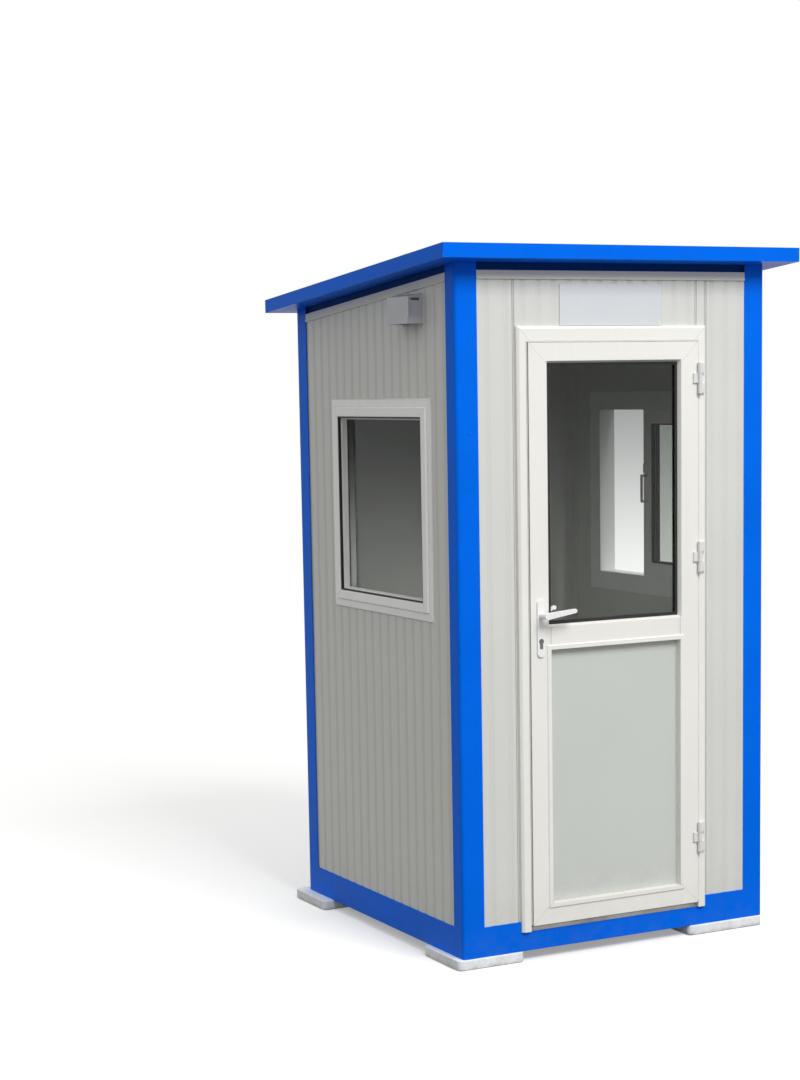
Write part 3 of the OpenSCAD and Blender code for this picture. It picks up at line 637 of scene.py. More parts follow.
@dataclass(frozen=True)
class MottledSurface:
    """Surface of two colours in a coarse and a fine pattern, for stone, boards, plastic and sealant."""

    name: str
    light: Colour
    dark: Colour
    coarse: float = 6.0
    fine: float = 120.0
    share: float = 0.4
    rough: float = 0.5
    shine: float = 0.3
    bump: float = 0.0002
    bump_scale: float = 180.0
    dirt: Colour = (0.30, 0.25, 0.19)
    dirt_level: float = 0.0
    dirt_reach: float = 0.0
    dirt_amount: float = 0.3
    wear: float = 0.0
    worn: Colour = (0.5, 0.5, 0.5)

    def build(self, effects: Effects) -> Material:
        """Makes the surface, with worn edges and low dirt where they are asked for.

        Args:
            effects: The shared effects.

        Returns:
            The material.
        """
        material, graph, shader = new_material(self.name)
        coords = graph.coords()
        cloud = graph.effect(
            effects.mottle, Coords=coords, Coarse=self.coarse, Fine=self.fine, Share=self.share)
        colour = graph.blend(cloud, self.dark, self.light)
        if self.wear:
            wear = graph.effect(effects.wear, Coords=coords, Radius=0.003, Breakup=60.0, Amount=self.wear)
            colour = graph.blend(wear, colour, self.worn)
        if self.dirt_reach:
            dust = graph.effect(
                effects.dust, Coords=coords, Level=self.dirt_level, Reach=self.dirt_reach,
                Amount=self.dirt_amount)
            colour = graph.blend(dust, colour, self.dirt)
        graph.put(shader["Base Color"], colour)
        gloss = graph.fit(cloud, 0.0, 1.0, self.rough + 0.06, self.rough - 0.06, smooth=False)
        graph.put(shader["Roughness"], gloss)
        grain = graph.noise(coords, self.bump_scale, detail=5.0, rough=0.6)
        graph.put(shader["Normal"], graph.bump(grain, self.bump, strength=0.8))
        graph.put(shader["Specular IOR Level"], self.shine)
        return material


@dataclass(frozen=True)
class BrushedMetal:
    """Plain metal with a drawn grain along one direction."""

    name: str
    light: Colour
    dark: Colour
    stretch: Point
    rough: float = 0.36

    def build(self, effects: Effects) -> Material:
        """Makes the metal, with its grain in colour, gloss and bump.

        Args:
            effects: The shared effects.

        Returns:
            The material.
        """
        material, graph, shader = new_material(self.name)
        coords = graph.coords()
        grain = graph.noise(graph.scaled(coords, self.stretch), scale=900.0, rough=0.6)
        cloud = graph.effect(effects.mottle, Coords=coords, Coarse=14.0, Fine=200.0, Share=0.5)
        colour = graph.blend(graph.math("MULTIPLY", grain, cloud), self.light, self.dark)
        graph.put(shader["Base Color"], colour)
        graph.put(shader["Roughness"], graph.fit(cloud, 0.0, 1.0, self.rough - 0.06, self.rough + 0.12))
        graph.put(shader["Normal"], graph.bump(grain, distance=0.0001, strength=0.5))
        graph.put(shader["Metallic"], 1.0)
        return material


@dataclass(frozen=True)
class TintedGlass:
    """Float glass with a grey-green tint that lets the lamp through."""

    name: str
    foot: Colour
    head: Colour
    span: Pair
    index: float = 1.3
    shadow: Colour = (0.46, 0.48, 0.46)
    shine: float = 0.1

    def build(self, effects: Effects) -> Material:
        """Makes the pane, its colour darker towards the head as painted shade, with a faint film of dust in
        its gloss.

        Args:
            effects: The shared effects.

        Returns:
            The material.
        """
        material, graph, shader = new_material(self.name)
        coords = graph.coords()
        film = graph.effect(effects.mottle, Coords=coords, Coarse=5.0, Fine=70.0, Share=0.5)
        graph.put(shader["Roughness"], graph.fit(film, 0.45, 1.0, 0.0, 0.008))
        # Painted shade: the colour darkens from the foot to the head of the span, standing in for the shade
        # at the top of the pane
        rise = graph.fit(graph.apart(coords)["Z"], *self.span)
        graph.put(shader["Base Color"], graph.blend(rise, self.foot, self.head))
        graph.put(shader["Transmission Weight"], 1.0)
        graph.put(shader["IOR"], self.index)
        graph.put(shader["Specular IOR Level"], self.shine)
        clear = graph.node("BsdfTransparent")
        graph.put(clear.inputs["Color"], (*self.shadow, 1.0))
        in_shadow = graph.node("LightPath").outputs["Is Shadow Ray"]
        pane = graph.found("BSDF_PRINCIPLED").outputs["BSDF"]
        graph.show(graph.mix(in_shadow, pane, clear.outputs[0]))
        return material


class Finishes:
    """Every finish of the booth, built once."""

    def __init__(self) -> None:
        """Builds the shared effects and the materials."""
        effects = Effects()
        self.effects = effects
        self.blue = PaintedSheet("blue_sheet_paint", (0.0, 0.143, 0.82)).build(effects)
        # Painted shade: the rails take a much darker copy of the blue paint, for the band in the shade under
        # the eaves
        self.rail = PaintedSheet(
            "roof_rail_shaded_paint", (0.0, 0.040, 0.22), rough=0.5, shine=0.05, dirt_amount=0.0).build(effects)
        panel_tones = (0.66, 0.665, 0.63), (0.62, 0.625, 0.59)
        # The front and side coats differ only in the painted shade in their grooves: more on the side walls,
        # which get less light
        self.front_panel = PanelSheet("front_panel_coat", *panel_tones, groove_shade=0.08).build(effects)
        self.panel = PanelSheet("side_panel_coat", *panel_tones, groove_shade=0.22).build(effects)
        self.roof_panel = PanelSheet("roof_panel_coat", *panel_tones).build(effects)
        self.trim = PanelSheet("trim_sheet_coat", (0.68, 0.675, 0.63), (0.63, 0.625, 0.59)).build(effects)
        self.infill = MottledSurface(
            "infill_panel_skin", (0.58, 0.605, 0.57), (0.55, 0.575, 0.54), coarse=1.6, fine=260.0,
            share=0.3, rough=0.4, bump=0.0001, dirt_level=0.12, dirt_reach=0.3,
            dirt_amount=0.2).build(effects)
        self.fitting = MottledSurface(
            "white_fitting_coat", (0.86, 0.86, 0.84), (0.81, 0.81, 0.79), coarse=20.0, fine=220.0,
            rough=0.26, shine=0.4, bump=0.0001, wear=0.25, worn=(0.42, 0.42, 0.41)).build(effects)
        self.hinge = MottledSurface(
            "hinge_coat", (0.74, 0.74, 0.72), (0.64, 0.64, 0.62), coarse=24.0, fine=240.0,
            rough=0.34, shine=0.4, bump=0.0001, wear=0.4, worn=(0.36, 0.36, 0.36)).build(effects)
        self.hood = MottledSurface(
            "hood_plastic", (0.53, 0.54, 0.56), (0.47, 0.48, 0.50), coarse=9.0, fine=160.0,
            wear=0.2, worn=(0.40, 0.40, 0.40)).build(effects)
        self.sign = MottledSurface(
            "sign_blank_face", (0.64, 0.66, 0.68), (0.61, 0.63, 0.65), coarse=7.0, fine=150.0,
            rough=0.28, shine=0.4, bump=0.00005).build(effects)
        self.stone = MottledSurface(
            "slab_stone_face", (0.92, 0.94, 0.97), (0.70, 0.72, 0.74), coarse=16.0, fine=90.0,
            share=0.5, rough=0.62, shine=0.25, bump=0.0012, bump_scale=55.0, dirt_reach=0.02,
            dirt_amount=0.8, wear=0.5, worn=(0.5, 0.47, 0.43)).build(effects)
        self.floor = MottledSurface(
            "floor_board_cover", (0.22, 0.22, 0.21), (0.15, 0.15, 0.145), coarse=9.0, fine=320.0,
            share=0.7, rough=0.55).build(effects)
        self.rubber = MottledSurface(
            "black_rubber", (0.022, 0.022, 0.022), (0.012, 0.012, 0.012), coarse=20.0, fine=300.0,
            rough=0.6, bump=0.0001).build(effects)
        self.sealant = MottledSurface(
            "sealant_bead", (0.70, 0.70, 0.67), (0.58, 0.57, 0.53), coarse=12.0, fine=160.0,
            rough=0.45, bump=0.0004, bump_scale=90.0).build(effects)
        self.joint = MottledSurface(
            "joint_filler", (0.58, 0.58, 0.55), (0.50, 0.50, 0.47), coarse=12.0, fine=160.0,
            rough=0.6).build(effects)
        self.sill = BrushedMetal(
            "sill_metal_plate", (0.30, 0.29, 0.27), (0.12, 0.11, 0.10), stretch=(0.02, 1.0, 1.0),
            rough=0.42).build(effects)
        self.lock = BrushedMetal(
            "lock_metal_core", (0.20, 0.20, 0.20), (0.07, 0.07, 0.07), stretch=(1.0, 1.0, 0.05),
            rough=0.3).build(effects)
        self.zinc = BrushedMetal(
            "zinc_screw", (0.62, 0.62, 0.60), (0.38, 0.38, 0.37), stretch=(1.0, 1.0, 1.0),
            rough=0.34).build(effects)
        # The door and left panes darken towards their heads as painted shade; the right pane's two colours
        # are nearly equal
        self.door_pane = TintedGlass(
            "door_pane_glass", (0.98, 1.0, 0.98), (0.295, 0.31, 0.30), span=(1.10, 1.97)).build(effects)
        self.left_pane = TintedGlass(
            "left_pane_glass", (0.98, 1.0, 0.98), (0.155, 0.17, 0.165), span=(1.15, 1.81),
            index=1.16).build(effects)
        self.right_pane = TintedGlass(
            "right_pane_glass", (0.72, 0.75, 0.72), (0.70, 0.73, 0.70), span=(1.19, 1.81)).build(effects)


# Modelling

# Angles in degrees: edges that stay sharp, edges of pressed grooves, edges to round, faces to join
SHARP_ANGLE = 38.0
GROOVE_ANGLE = 6.0
ROUNDED_ANGLE = 40.0
FLAT_ANGLE = 0.4

# Distances in metres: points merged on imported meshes, points merged on turned ones, equal places
WELD_DISTANCE = 1e-5
POLE_DISTANCE = 1e-6
SAME_PLACE = 1e-7


def modifier_group(name: str) -> tuple[bpy.types.NodeTree, Socket, Socket]:
    """Starts a modifier's node group, which takes a mesh and gives one back.

    Args:
        name: The group's name.

    Returns:
        The group, the socket of the mesh that comes in and the one for the mesh that goes out.
    """
    tree = bpy.data.node_groups.new(name, "GeometryNodeTree")
    for way in ("INPUT", "OUTPUT"):
        tree.interface.new_socket("Geometry", in_out=way, socket_type="NodeSocketGeometry")
    start, end = tree.nodes.new("NodeGroupInput"), tree.nodes.new("NodeGroupOutput")
    return tree, start.outputs[0], end.inputs[0]


def edge_by_angle(limit: float) -> bpy.types.NodeTree:
    """Makes the modifier group that shades faces smooth and keeps the edges over an angle sharp.

    Args:
        limit: The angle in degrees.

    Returns:
        The modifier's node group.
    """
    tree, given, result = modifier_group("smooth_by_angle")
    nodes, links = tree.nodes, tree.links
    faces = nodes.new("GeometryNodeSetShadeSmooth")
    faces.domain = "FACE"
    faces.inputs["Shade Smooth"].default_value = True
    edges = nodes.new("GeometryNodeSetShadeSmooth")
    edges.domain = "EDGE"
    edges.inputs["Shade Smooth"].default_value = False
    angle = nodes.new("GeometryNodeInputMeshEdgeAngle")
    compare = nodes.new("FunctionNodeCompare")
    compare.data_type, compare.operation = "FLOAT", "GREATER_THAN"
    compare.inputs[1].default_value = math.radians(limit)
    links.new(angle.outputs["Unsigned Angle"], compare.inputs[0])
    links.new(compare.outputs[0], edges.inputs["Selection"])
    links.new(given, faces.inputs["Geometry"])
    links.new(faces.outputs["Geometry"], edges.inputs["Geometry"])
    links.new(edges.outputs["Geometry"], result)
    return tree


def without_packed_normals() -> bpy.types.NodeTree:
    """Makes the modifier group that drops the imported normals, so that welded faces shade by themselves.

    Returns:
        The modifier's node group.
    """
    tree, given, result = modifier_group("own_normals")
    drop = tree.nodes.new("GeometryNodeRemoveAttribute")
    drop.inputs["Name"].default_value = "custom_normal"
    tree.links.new(given, drop.inputs["Geometry"])
    tree.links.new(drop.outputs["Geometry"], result)
    return tree


SMOOTH_EDGES = edge_by_angle(SHARP_ANGLE)
CRISP_EDGES = edge_by_angle(GROOVE_ANGLE)
OWN_NORMALS = without_packed_normals()


def soften(obj: bpy.types.Object, width: float, segments: int, packed: bool, crisp: bool = False) -> None:
    """Rounds a piece's edges with live modifiers and shades it by angle.

    Args:
        obj: The piece.
        width: Width of the rounding.
        segments: Number of faces across the rounding.
        packed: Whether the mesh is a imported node's loose triangles.
        crisp: Whether the low slopes of pressed grooves keep their own shading.
    """
    if packed:
        obj.modifiers.new("own_normals", "NODES").node_group = OWN_NORMALS
        obj.modifiers.new("weld", "WELD").merge_threshold = WELD_DISTANCE
        flat = obj.modifiers.new("flat", "DECIMATE")
        flat.decimate_type = "DISSOLVE"
        flat.angle_limit = math.radians(FLAT_ANGLE)
    if width > 0:
        bevel = obj.modifiers.new("edges", "BEVEL")
        bevel.width = width
        bevel.segments = segments
        bevel.limit_method = "ANGLE"
        bevel.angle_limit = math.radians(ROUNDED_ANGLE)
        bevel.use_clamp_overlap = True
    obj.modifiers.new("shade", "NODES").node_group = CRISP_EDGES if crisp else SMOOTH_EDGES
    obj.modifiers.new("weighted", "WEIGHTED_NORMAL").keep_sharp = True


def dress(node: str, material: Material, width: float, segments: int = 2, crisp: bool = False) -> None:
    """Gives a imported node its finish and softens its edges.

    Args:
        node: The node's name.
        material: Its finish.
        width: Width of the rounding of its edges.
        segments: Number of faces across the rounding.
        crisp: Whether the low slopes of pressed grooves keep their own shading.
    """
    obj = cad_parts[node]
    for entry in obj.material_slots:
        entry.material = material
    soften(obj, width, segments, packed=True, crisp=crisp)


def placed(name: str, data: bpy.types.ID) -> bpy.types.Object:
    """Makes an object and adds it to the scene.

    Args:
        name: The object's name.
        data: Its mesh, lamp or camera.

    Returns:
        The object.
    """
    obj = bpy.data.objects.new(name, data)
    bpy.context.scene.collection.objects.link(obj)
    return obj


def mesh_of(name: str, shape: bmesh.types.BMesh) -> bpy.types.Mesh:
    """Turns a finished bmesh into a mesh and frees it.

    Args:
        name: The mesh's name.
        shape: The bmesh.

    Returns:
        The mesh.
    """
    mesh = bpy.data.meshes.new(name)
    shape.to_mesh(mesh)
    shape.free()
    return mesh


def outline(node: str, facing: Facing, inset: float = 0.0) -> tuple[Pair, Pair]:
    """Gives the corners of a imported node's box on a side.

    Args:
        node: The node's name.
        facing: The side.
        inset: How far the corners are drawn in.

    Returns:
        The lower and the upper corner, each across and up.
    """
    low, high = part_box(node)
    across = facing.axis.lower()
    return (
        (getattr(low, across) + inset, low.z + inset), (getattr(high, across) - inset, high.z - inset))


def add_block(shape: bmesh.types.BMesh, low: Sequence[float], high: Sequence[float]) -> None:
    """Adds a box given by its two corners.

    Args:
        shape: The mesh that it goes into.
        low: Its lowest corner.
        high: Its highest corner.
    """
    low, high = Vector(low), Vector(high)
    place = Matrix.Translation((low + high) / 2) @ Matrix.Diagonal((*(high - low), 1.0))
    bmesh.ops.create_cube(shape, size=1.0, matrix=place)


def add_ring(shape: bmesh.types.BMesh, place: Matrix, low: Pair, high: Pair,
             width: float, depth: float, slope: float = 0.0) -> None:
    """Adds a rectangular ring that lies on a side.

    Args:
        shape: The mesh that it goes into.
        place: Puts local across, up, out coordinates in place.
        low: Outer lower corner across and up.
        high: Outer upper corner across and up.
        width: Width of the ring's sides.
        depth: How far the ring stands out.
        slope: How far the ring's outer edge draws in on its way out.
    """
    earlier = set(shape.verts)
    corners = ((low[0], low[1]), (high[0], low[1]), (high[0], high[1]), (low[0], high[1]))
    sheet = shape.faces.new([shape.verts.new((x, z, 0.0)) for x, z in corners])
    sheet.normal_update()
    border = bmesh.ops.inset_region(
        shape, faces=[sheet], thickness=width, use_boundary=True, use_even_offset=True)["faces"]
    bmesh.ops.delete(shape, geom=[sheet], context="FACES_ONLY")
    raised = bmesh.ops.extrude_face_region(shape, geom=border)["geom"]
    top = [item for item in raised if isinstance(item, bmesh.types.BMVert)]
    bmesh.ops.translate(shape, vec=(0.0, 0.0, depth), verts=top)
    if slope:
        for vert in top:
            for axis in (0, 1):
                if abs(vert.co[axis] - low[axis]) < SAME_PLACE:
                    vert.co[axis] += slope
                elif abs(vert.co[axis] - high[axis]) < SAME_PLACE:
                    vert.co[axis] -= slope
    bmesh.ops.transform(shape, matrix=place, verts=[vert for vert in shape.verts if vert not in earlier])


class Turned:
    """A small turned shape, such as a screw head or a cap, that is stamped many times."""

    def __init__(self, profile: Sequence[Pair], steps: int = 16) -> None:
        """Spins a profile round its axis.

        Args:
            profile: Radius and height of each point, from the foot to the top.
            steps: Number of faces round.
        """
        shape = bmesh.new()
        verts = [shape.verts.new((radius, 0.0, height)) for radius, height in profile]
        edges = [shape.edges.new(pair) for pair in zip(verts, verts[1:])]
        bmesh.ops.spin(
            shape, geom=verts + edges, cent=(0, 0, 0), axis=(0, 0, 1), dvec=(0, 0, 0),
            angle=2 * math.pi, steps=steps, use_merge=True, use_duplicate=False)
        bmesh.ops.remove_doubles(shape, verts=shape.verts[:], dist=POLE_DISTANCE)
        bmesh.ops.recalc_face_normals(shape, faces=shape.faces[:])
        self.mesh = mesh_of("turned_shape", shape)

    def stamp(self, shape: bmesh.types.BMesh, *places: Matrix) -> None:
        """Adds one copy at each place.

        Args:
            shape: The mesh that they go into.
            *places: The places, their local +Z pointing outwards.
        """
        for place in places:
            count = len(shape.verts)
            shape.from_mesh(self.mesh)
            shape.verts.ensure_lookup_table()
            bmesh.ops.transform(shape, matrix=place, verts=shape.verts[count:])


def rivet_head(radius: float = 0.0032, height: float = 0.0012) -> Turned:
    """Makes a low dome with a pin mark in its middle.

    Args:
        radius: Radius of the dome.
        height: Height of the dome.

    Returns:
        The turned shape.
    """
    return Turned((
        (0.0, -SINK), (radius, -SINK), (radius, 0.25 * height), (0.82 * radius, 0.75 * height),
        (0.45 * radius, height), (0.28 * radius, height), (0.24 * radius, 0.6 * height), (0.0, 0.6 * height)))


def pan_screw(radius: float, height: float) -> Turned:
    """Makes a pan head with a small round recess.

    Args:
        radius: Radius of the head.
        height: Height of the head.

    Returns:
        The turned shape.
    """
    return Turned((
        (0.0, -SINK), (radius, -SINK), (radius, 0.45 * height), (0.86 * radius, 0.85 * height),
        (0.6 * radius, height), (0.42 * radius, height), (0.34 * radius, 0.35 * height), (0.0, 0.3 * height)),
        steps=18)


def spread(low: float, high: float, count: int) -> list[float]:
    """Gives evenly spaced places, with one at each end.

    Args:
        low: The first place.
        high: The last place.
        count: Number of places.

    Returns:
        The places.
    """
    return [low + (high - low) * step / (count - 1) for step in range(count)]


# Sub-assemblies


@dataclass
class SubAssembly:
    """A group of nodes and pieces that belong together.

    Attributes:
        title: What the log calls the group.
        finishes: The booth's finishes.
        made: The new pieces.
    """

    title: ClassVar[str]

    finishes: Finishes
    made: list[bpy.types.Object] = field(default_factory=list, init=False)

    def dress(self) -> None:
        """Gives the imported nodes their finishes."""

    def build(self) -> None:
        """Makes the new pieces."""

    def add(self, name: str, shape: bmesh.types.BMesh, material: Material, body: Body = Body.BOOTH,
            slot: str | None = None, width: float = 0.0) -> None:
        """Turns a finished bmesh into a piece that rides on a body.

        Args:
            name: The piece's name.
            shape: Its mesh, in place. It is freed.
            material: Its finish.
            body: The body that it rides on.
            slot: Not used.
            width: Width of the rounding of its edges.
        """
        bmesh.ops.recalc_face_normals(shape, faces=shape.faces[:])
        obj = placed(name, mesh_of(name, shape))
        obj.data.materials.append(material)
        soften(obj, width, segments=2, packed=False)
        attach(obj, body.value)
        self.made.append(obj)

    def report(self) -> None:
        """Names each new piece in the log."""
        for obj in self.made:
            log.info("%s: %s, %d faces", self.title, obj.name, len(obj.data.polygons))


@dataclass
class Base(SubAssembly):
    """Slabs, base channels, floor and threshold.

    Attributes:
        rivets: Number of rivets along a channel.
        side_margin: Distance of the end rivets from the ends of a side channel.
        back_reach: Distance of the end rivets of the back channel from its middle.
        ribs: Number of grip ribs on the threshold.
        rib_margins: Distance of the ribs' ends and of the outer ribs from the threshold's edges.
        rib_half: Half of a rib's width.
        rib_rise: How far a rib stands up.
    """

    title: ClassVar[str] = "base"

    rivets: int = 4
    side_margin: float = 0.12
    back_reach: float = 0.40
    ribs: int = 4
    rib_margins: Pair = (0.004, 0.006)
    rib_half: float = 0.0015
    rib_rise: float = 0.0012

    def dress(self) -> None:
        """Gives the slabs, channels, floor and threshold their finishes."""
        for node in ("base_front", "base_back", "base_left", "base_right"):
            dress(node, self.finishes.blue, width=0.0006)
        dress("support_pads", self.finishes.stone, width=0.004, segments=3)
        dress("floor_panel", self.finishes.floor, width=0.001)
        dress("door_threshold", self.finishes.sill, width=0.0012)

    def build(self) -> None:
        """Makes the rivets along the channels and the grip ribs of the threshold."""
        head = rivet_head()
        shape = bmesh.new()
        low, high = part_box("base_left")
        up, back = 0.5 * (low.z + high.z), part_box("base_back")[1].y
        for y in spread(low.y + self.side_margin, high.y - self.side_margin, self.rivets):
            head.stamp(shape, Facing.LEFT.at((low.x, y, up)), Facing.RIGHT.at((-low.x, y, up)))
        for x in spread(-self.back_reach, self.back_reach, self.rivets):
            head.stamp(shape, Facing.BACK.at((x, back, up)))
        self.add("base_rivets", shape, self.finishes.blue, slot="blue_sheet")
        low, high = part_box("door_threshold")
        end, side = self.rib_margins
        shape = bmesh.new()
        for y in spread(low.y + side, high.y - side, self.ribs):
            add_block(
                shape, (low.x + end, y - self.rib_half, high.z - SINK),
                (high.x - end, y + self.rib_half, high.z + self.rib_rise))
        self.add("threshold_ribs", shape, self.finishes.sill, slot="sill_metal", width=0.0005)


@dataclass
class CornerPosts(SubAssembly):
    """Folded corner angles with their rivets.

    Attributes:
        face: Distance of the posts' faces from the middle of the booth.
        rivets: Number of rivets up each leg.
        heights: Heights of the lowest and the highest rivet.
        front_reach: Distance of the front and back rivets from the middle.
        side_places: Places of the side rivets, at the front and at the back.
    """

    title: ClassVar[str] = "corner posts"

    face: float = 0.6
    rivets: int = 7
    heights: Pair = (0.22, 2.06)
    front_reach: float = 0.548
    side_places: Pair = (-0.560, 0.552)

    def dress(self) -> None:
        """Gives the four posts their paint."""
        for node in ("post_front_left", "post_front_right", "post_back_left", "post_back_right"):
            dress(node, self.finishes.blue, width=0.0006)

    def build(self) -> None:
        """Makes the painted rivets on both legs of each post."""
        head = rivet_head()
        shape = bmesh.new()
        for z in spread(*self.heights, self.rivets):
            for x in (-self.front_reach, self.front_reach):
                head.stamp(shape, Facing.FRONT.at((x, -self.face, z)), Facing.BACK.at((x, self.face, z)))
            for y in self.side_places:
                head.stamp(shape, Facing.LEFT.at((-self.face, y, z)), Facing.RIGHT.at((self.face, y, z)))
        self.add("post_rivets", shape, self.finishes.blue, slot="blue_sheet")


@dataclass
class Walls(SubAssembly):
    """Wall panels, their joints and their trims.

    Attributes:
        face: Distance of the panels' outer faces from the middle of the booth.
        joint_width: Width of the joint between two front panels.
        joint_depth: Depth of that joint.
        filler: Thickness of the filler at its bottom.
        beside_frame: Distance of the two long joints from the door frame.
        over_frame: Distance of the short joint, over the door frame, from the frame's right edge.
        foot_gap: Distance of the filler from the joint's foot.
        head_gap: Distance of the filler from the joint's head.
    """

    title: ClassVar[str] = "walls"

    face: float = 0.597
    joint_width: float = 0.0046
    joint_depth: float = 0.0024
    filler: float = 0.0008
    beside_frame: float = 0.006
    over_frame: float = 0.034
    foot_gap: float = 0.002
    head_gap: float = 0.004

    def dress(self) -> None:
        """Gives the panels and trims their coatings."""
        for node in ("front_wall_left", "front_wall_right", "front_wall_header"):
            dress(node, self.finishes.front_panel, width=0.0006, crisp=True)
        for node in ("left_wall", "right_wall", "back_wall"):
            dress(node, self.finishes.panel, width=0.0, crisp=True)
        dress("wall_top_trim", self.finishes.trim, width=0.0005)
        dress("inside_corner_angles", self.finishes.trim, width=0.0003)

    def build(self) -> None:
        """Makes the filler at the bottom of the joints between the front panels."""
        low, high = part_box("door_frame")
        wall_low, wall_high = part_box("front_wall_left")
        joints = (
            (low.x - self.beside_frame, wall_low.z), (high.x + self.beside_frame, wall_low.z),
            (high.x - self.over_frame, high.z))
        bottom, half = -self.face + self.joint_depth, self.joint_width / 2
        shape = bmesh.new()
        for x, foot in joints:
            add_block(
                shape, (x - half, bottom - self.filler, foot + self.foot_gap),
                (x + half, bottom + SINK, wall_high.z - self.head_gap))
        self.add("panel_joint_filler", shape, self.finishes.joint, width=0.0002)


@dataclass
class Roof(SubAssembly):
    """Roof panel, rails, flashings and roof screws.

    Attributes:
        middle_top: Height of the panel's top over the middle of the booth.
        fall: How far the roof falls over the body's depth.
        depth: The body's depth.
        screw_profile: Radius and height of the points of a roof screw with its washer.
        columns: Number of roof screws across.
        column_reach: Distance of the outer columns from the middle.
        rows: Places of the rows of roof screws.
        rivets: Number of rivets along a flashing.
        rivet_line: Distance of the rivets' lines from the middle.
        rivet_reach: Distance of the end rivets from the middle, across and along.
        flashing_rise: Height of the flashings over the panel's top.
    """

    title: ClassVar[str] = "roof"

    middle_top: float = 2.2835
    fall: float = 0.105
    depth: float = 1.2
    screw_profile: tuple[Pair, ...] = (
        (0.0, -0.0003), (0.008, -0.0003), (0.008, 0.0010), (0.0066, 0.0020), (0.0052, 0.0022),
        (0.0050, 0.0048), (0.0040, 0.0058), (0.0, 0.0060))
    columns: int = 5
    column_reach: float = 0.5585
    rows: tuple[float, ...] = (-0.56, 0.0, 0.56)
    rivets: int = 6
    rivet_line: float = 0.661
    rivet_reach: Pair = (0.60, 0.58)
    flashing_rise: float = 0.0033

    def dress(self) -> None:
        """Gives the roof its finishes."""
        dress("roof_panel", self.finishes.roof_panel, width=0.0008, crisp=True)
        # The rails' dark navy is painted shade, a darker copy of the blue paint
        dress("roof_rails", self.finishes.rail, width=0.0008)
        for node in ("roof_edge_front", "roof_edge_back", "roof_edge_left", "roof_edge_right"):
            dress(node, self.finishes.blue, width=0.0008)

    def on_top(self, x: float, y: float, rise: float = 0.0) -> Matrix:
        """Gives the place and tilt of a fastener on the roof.

        Args:
            x: Its place across.
            y: Its place along.
            rise: Its height over the panel's top.

        Returns:
            The matrix that puts it in place.
        """
        top = self.middle_top - self.fall * y / self.depth
        tilt = Matrix.Rotation(-math.atan(self.fall / self.depth), 4, "X")
        return Matrix.Translation((x, y, top + rise)) @ tilt

    def build(self) -> None:
        """Makes the roof screws with their washers and the rivets of the flashings."""
        screw = Turned(self.screw_profile, steps=18)
        shape = bmesh.new()
        for x in spread(-self.column_reach, self.column_reach, self.columns):
            screw.stamp(shape, *(self.on_top(x, y) for y in self.rows))
        self.add("roof_screws", shape, self.finishes.zinc)
        across, along = (spread(-reach, reach, self.rivets) for reach in self.rivet_reach)
        lines = (-self.rivet_line, self.rivet_line)
        places = [(x, y) for x in across for y in lines] + [(x, y) for y in along for x in lines]
        shape = bmesh.new()
        rivet_head().stamp(shape, *(self.on_top(x, y, self.flashing_rise) for x, y in places))
        self.add("flashing_rivets", shape, self.finishes.blue, slot="blue_sheet")


@dataclass(frozen=True)
class Gasket:
    """Sizes of the gaskets on both sides of an infill.

    Attributes:
        width: Width of each one.
        outer: How far the outer one stands out.
        inner: How far the inner one stands out.
        rounding: Width of the rounding of their edges.
    """

    width: float
    outer: float
    inner: float
    rounding: float


@dataclass(frozen=True)
class LockPlate:
    """Upright metal plate with a screw near each end.

    Attributes:
        half: Half of its width and of its height.
        thickness: How far it stands out.
        screw_reach: Distance of its screws from its middle.
        screw: Radius and height of the screws' heads.
    """

    half: Pair
    thickness: float
    screw_reach: float
    screw: Pair

    def add_to(self, shape: bmesh.types.BMesh, facing: Facing, place: Point) -> None:
        """Adds the plate itself.

        Args:
            shape: The mesh that it goes into.
            facing: The side that it faces.
            place: The middle of its back.
        """
        x, y, z = place
        near, far = sorted((x - facing.out * SINK, x + facing.out * self.thickness))
        add_block(
            shape, (near, y - self.half[0], z - self.half[1]), (far, y + self.half[0], z + self.half[1]))

    def add_screws_to(self, shape: bmesh.types.BMesh, facing: Facing, place: Point) -> None:
        """Adds the plate's screws.

        Args:
            shape: The mesh that they go into.
            facing: The side that the plate faces.
            place: The middle of its back.
        """
        x, y, z = place
        face = x + facing.out * self.thickness
        pan_screw(*self.screw).stamp(
            shape, *(facing.at((face, y, z + side * self.screw_reach)) for side in (-1, 1)))


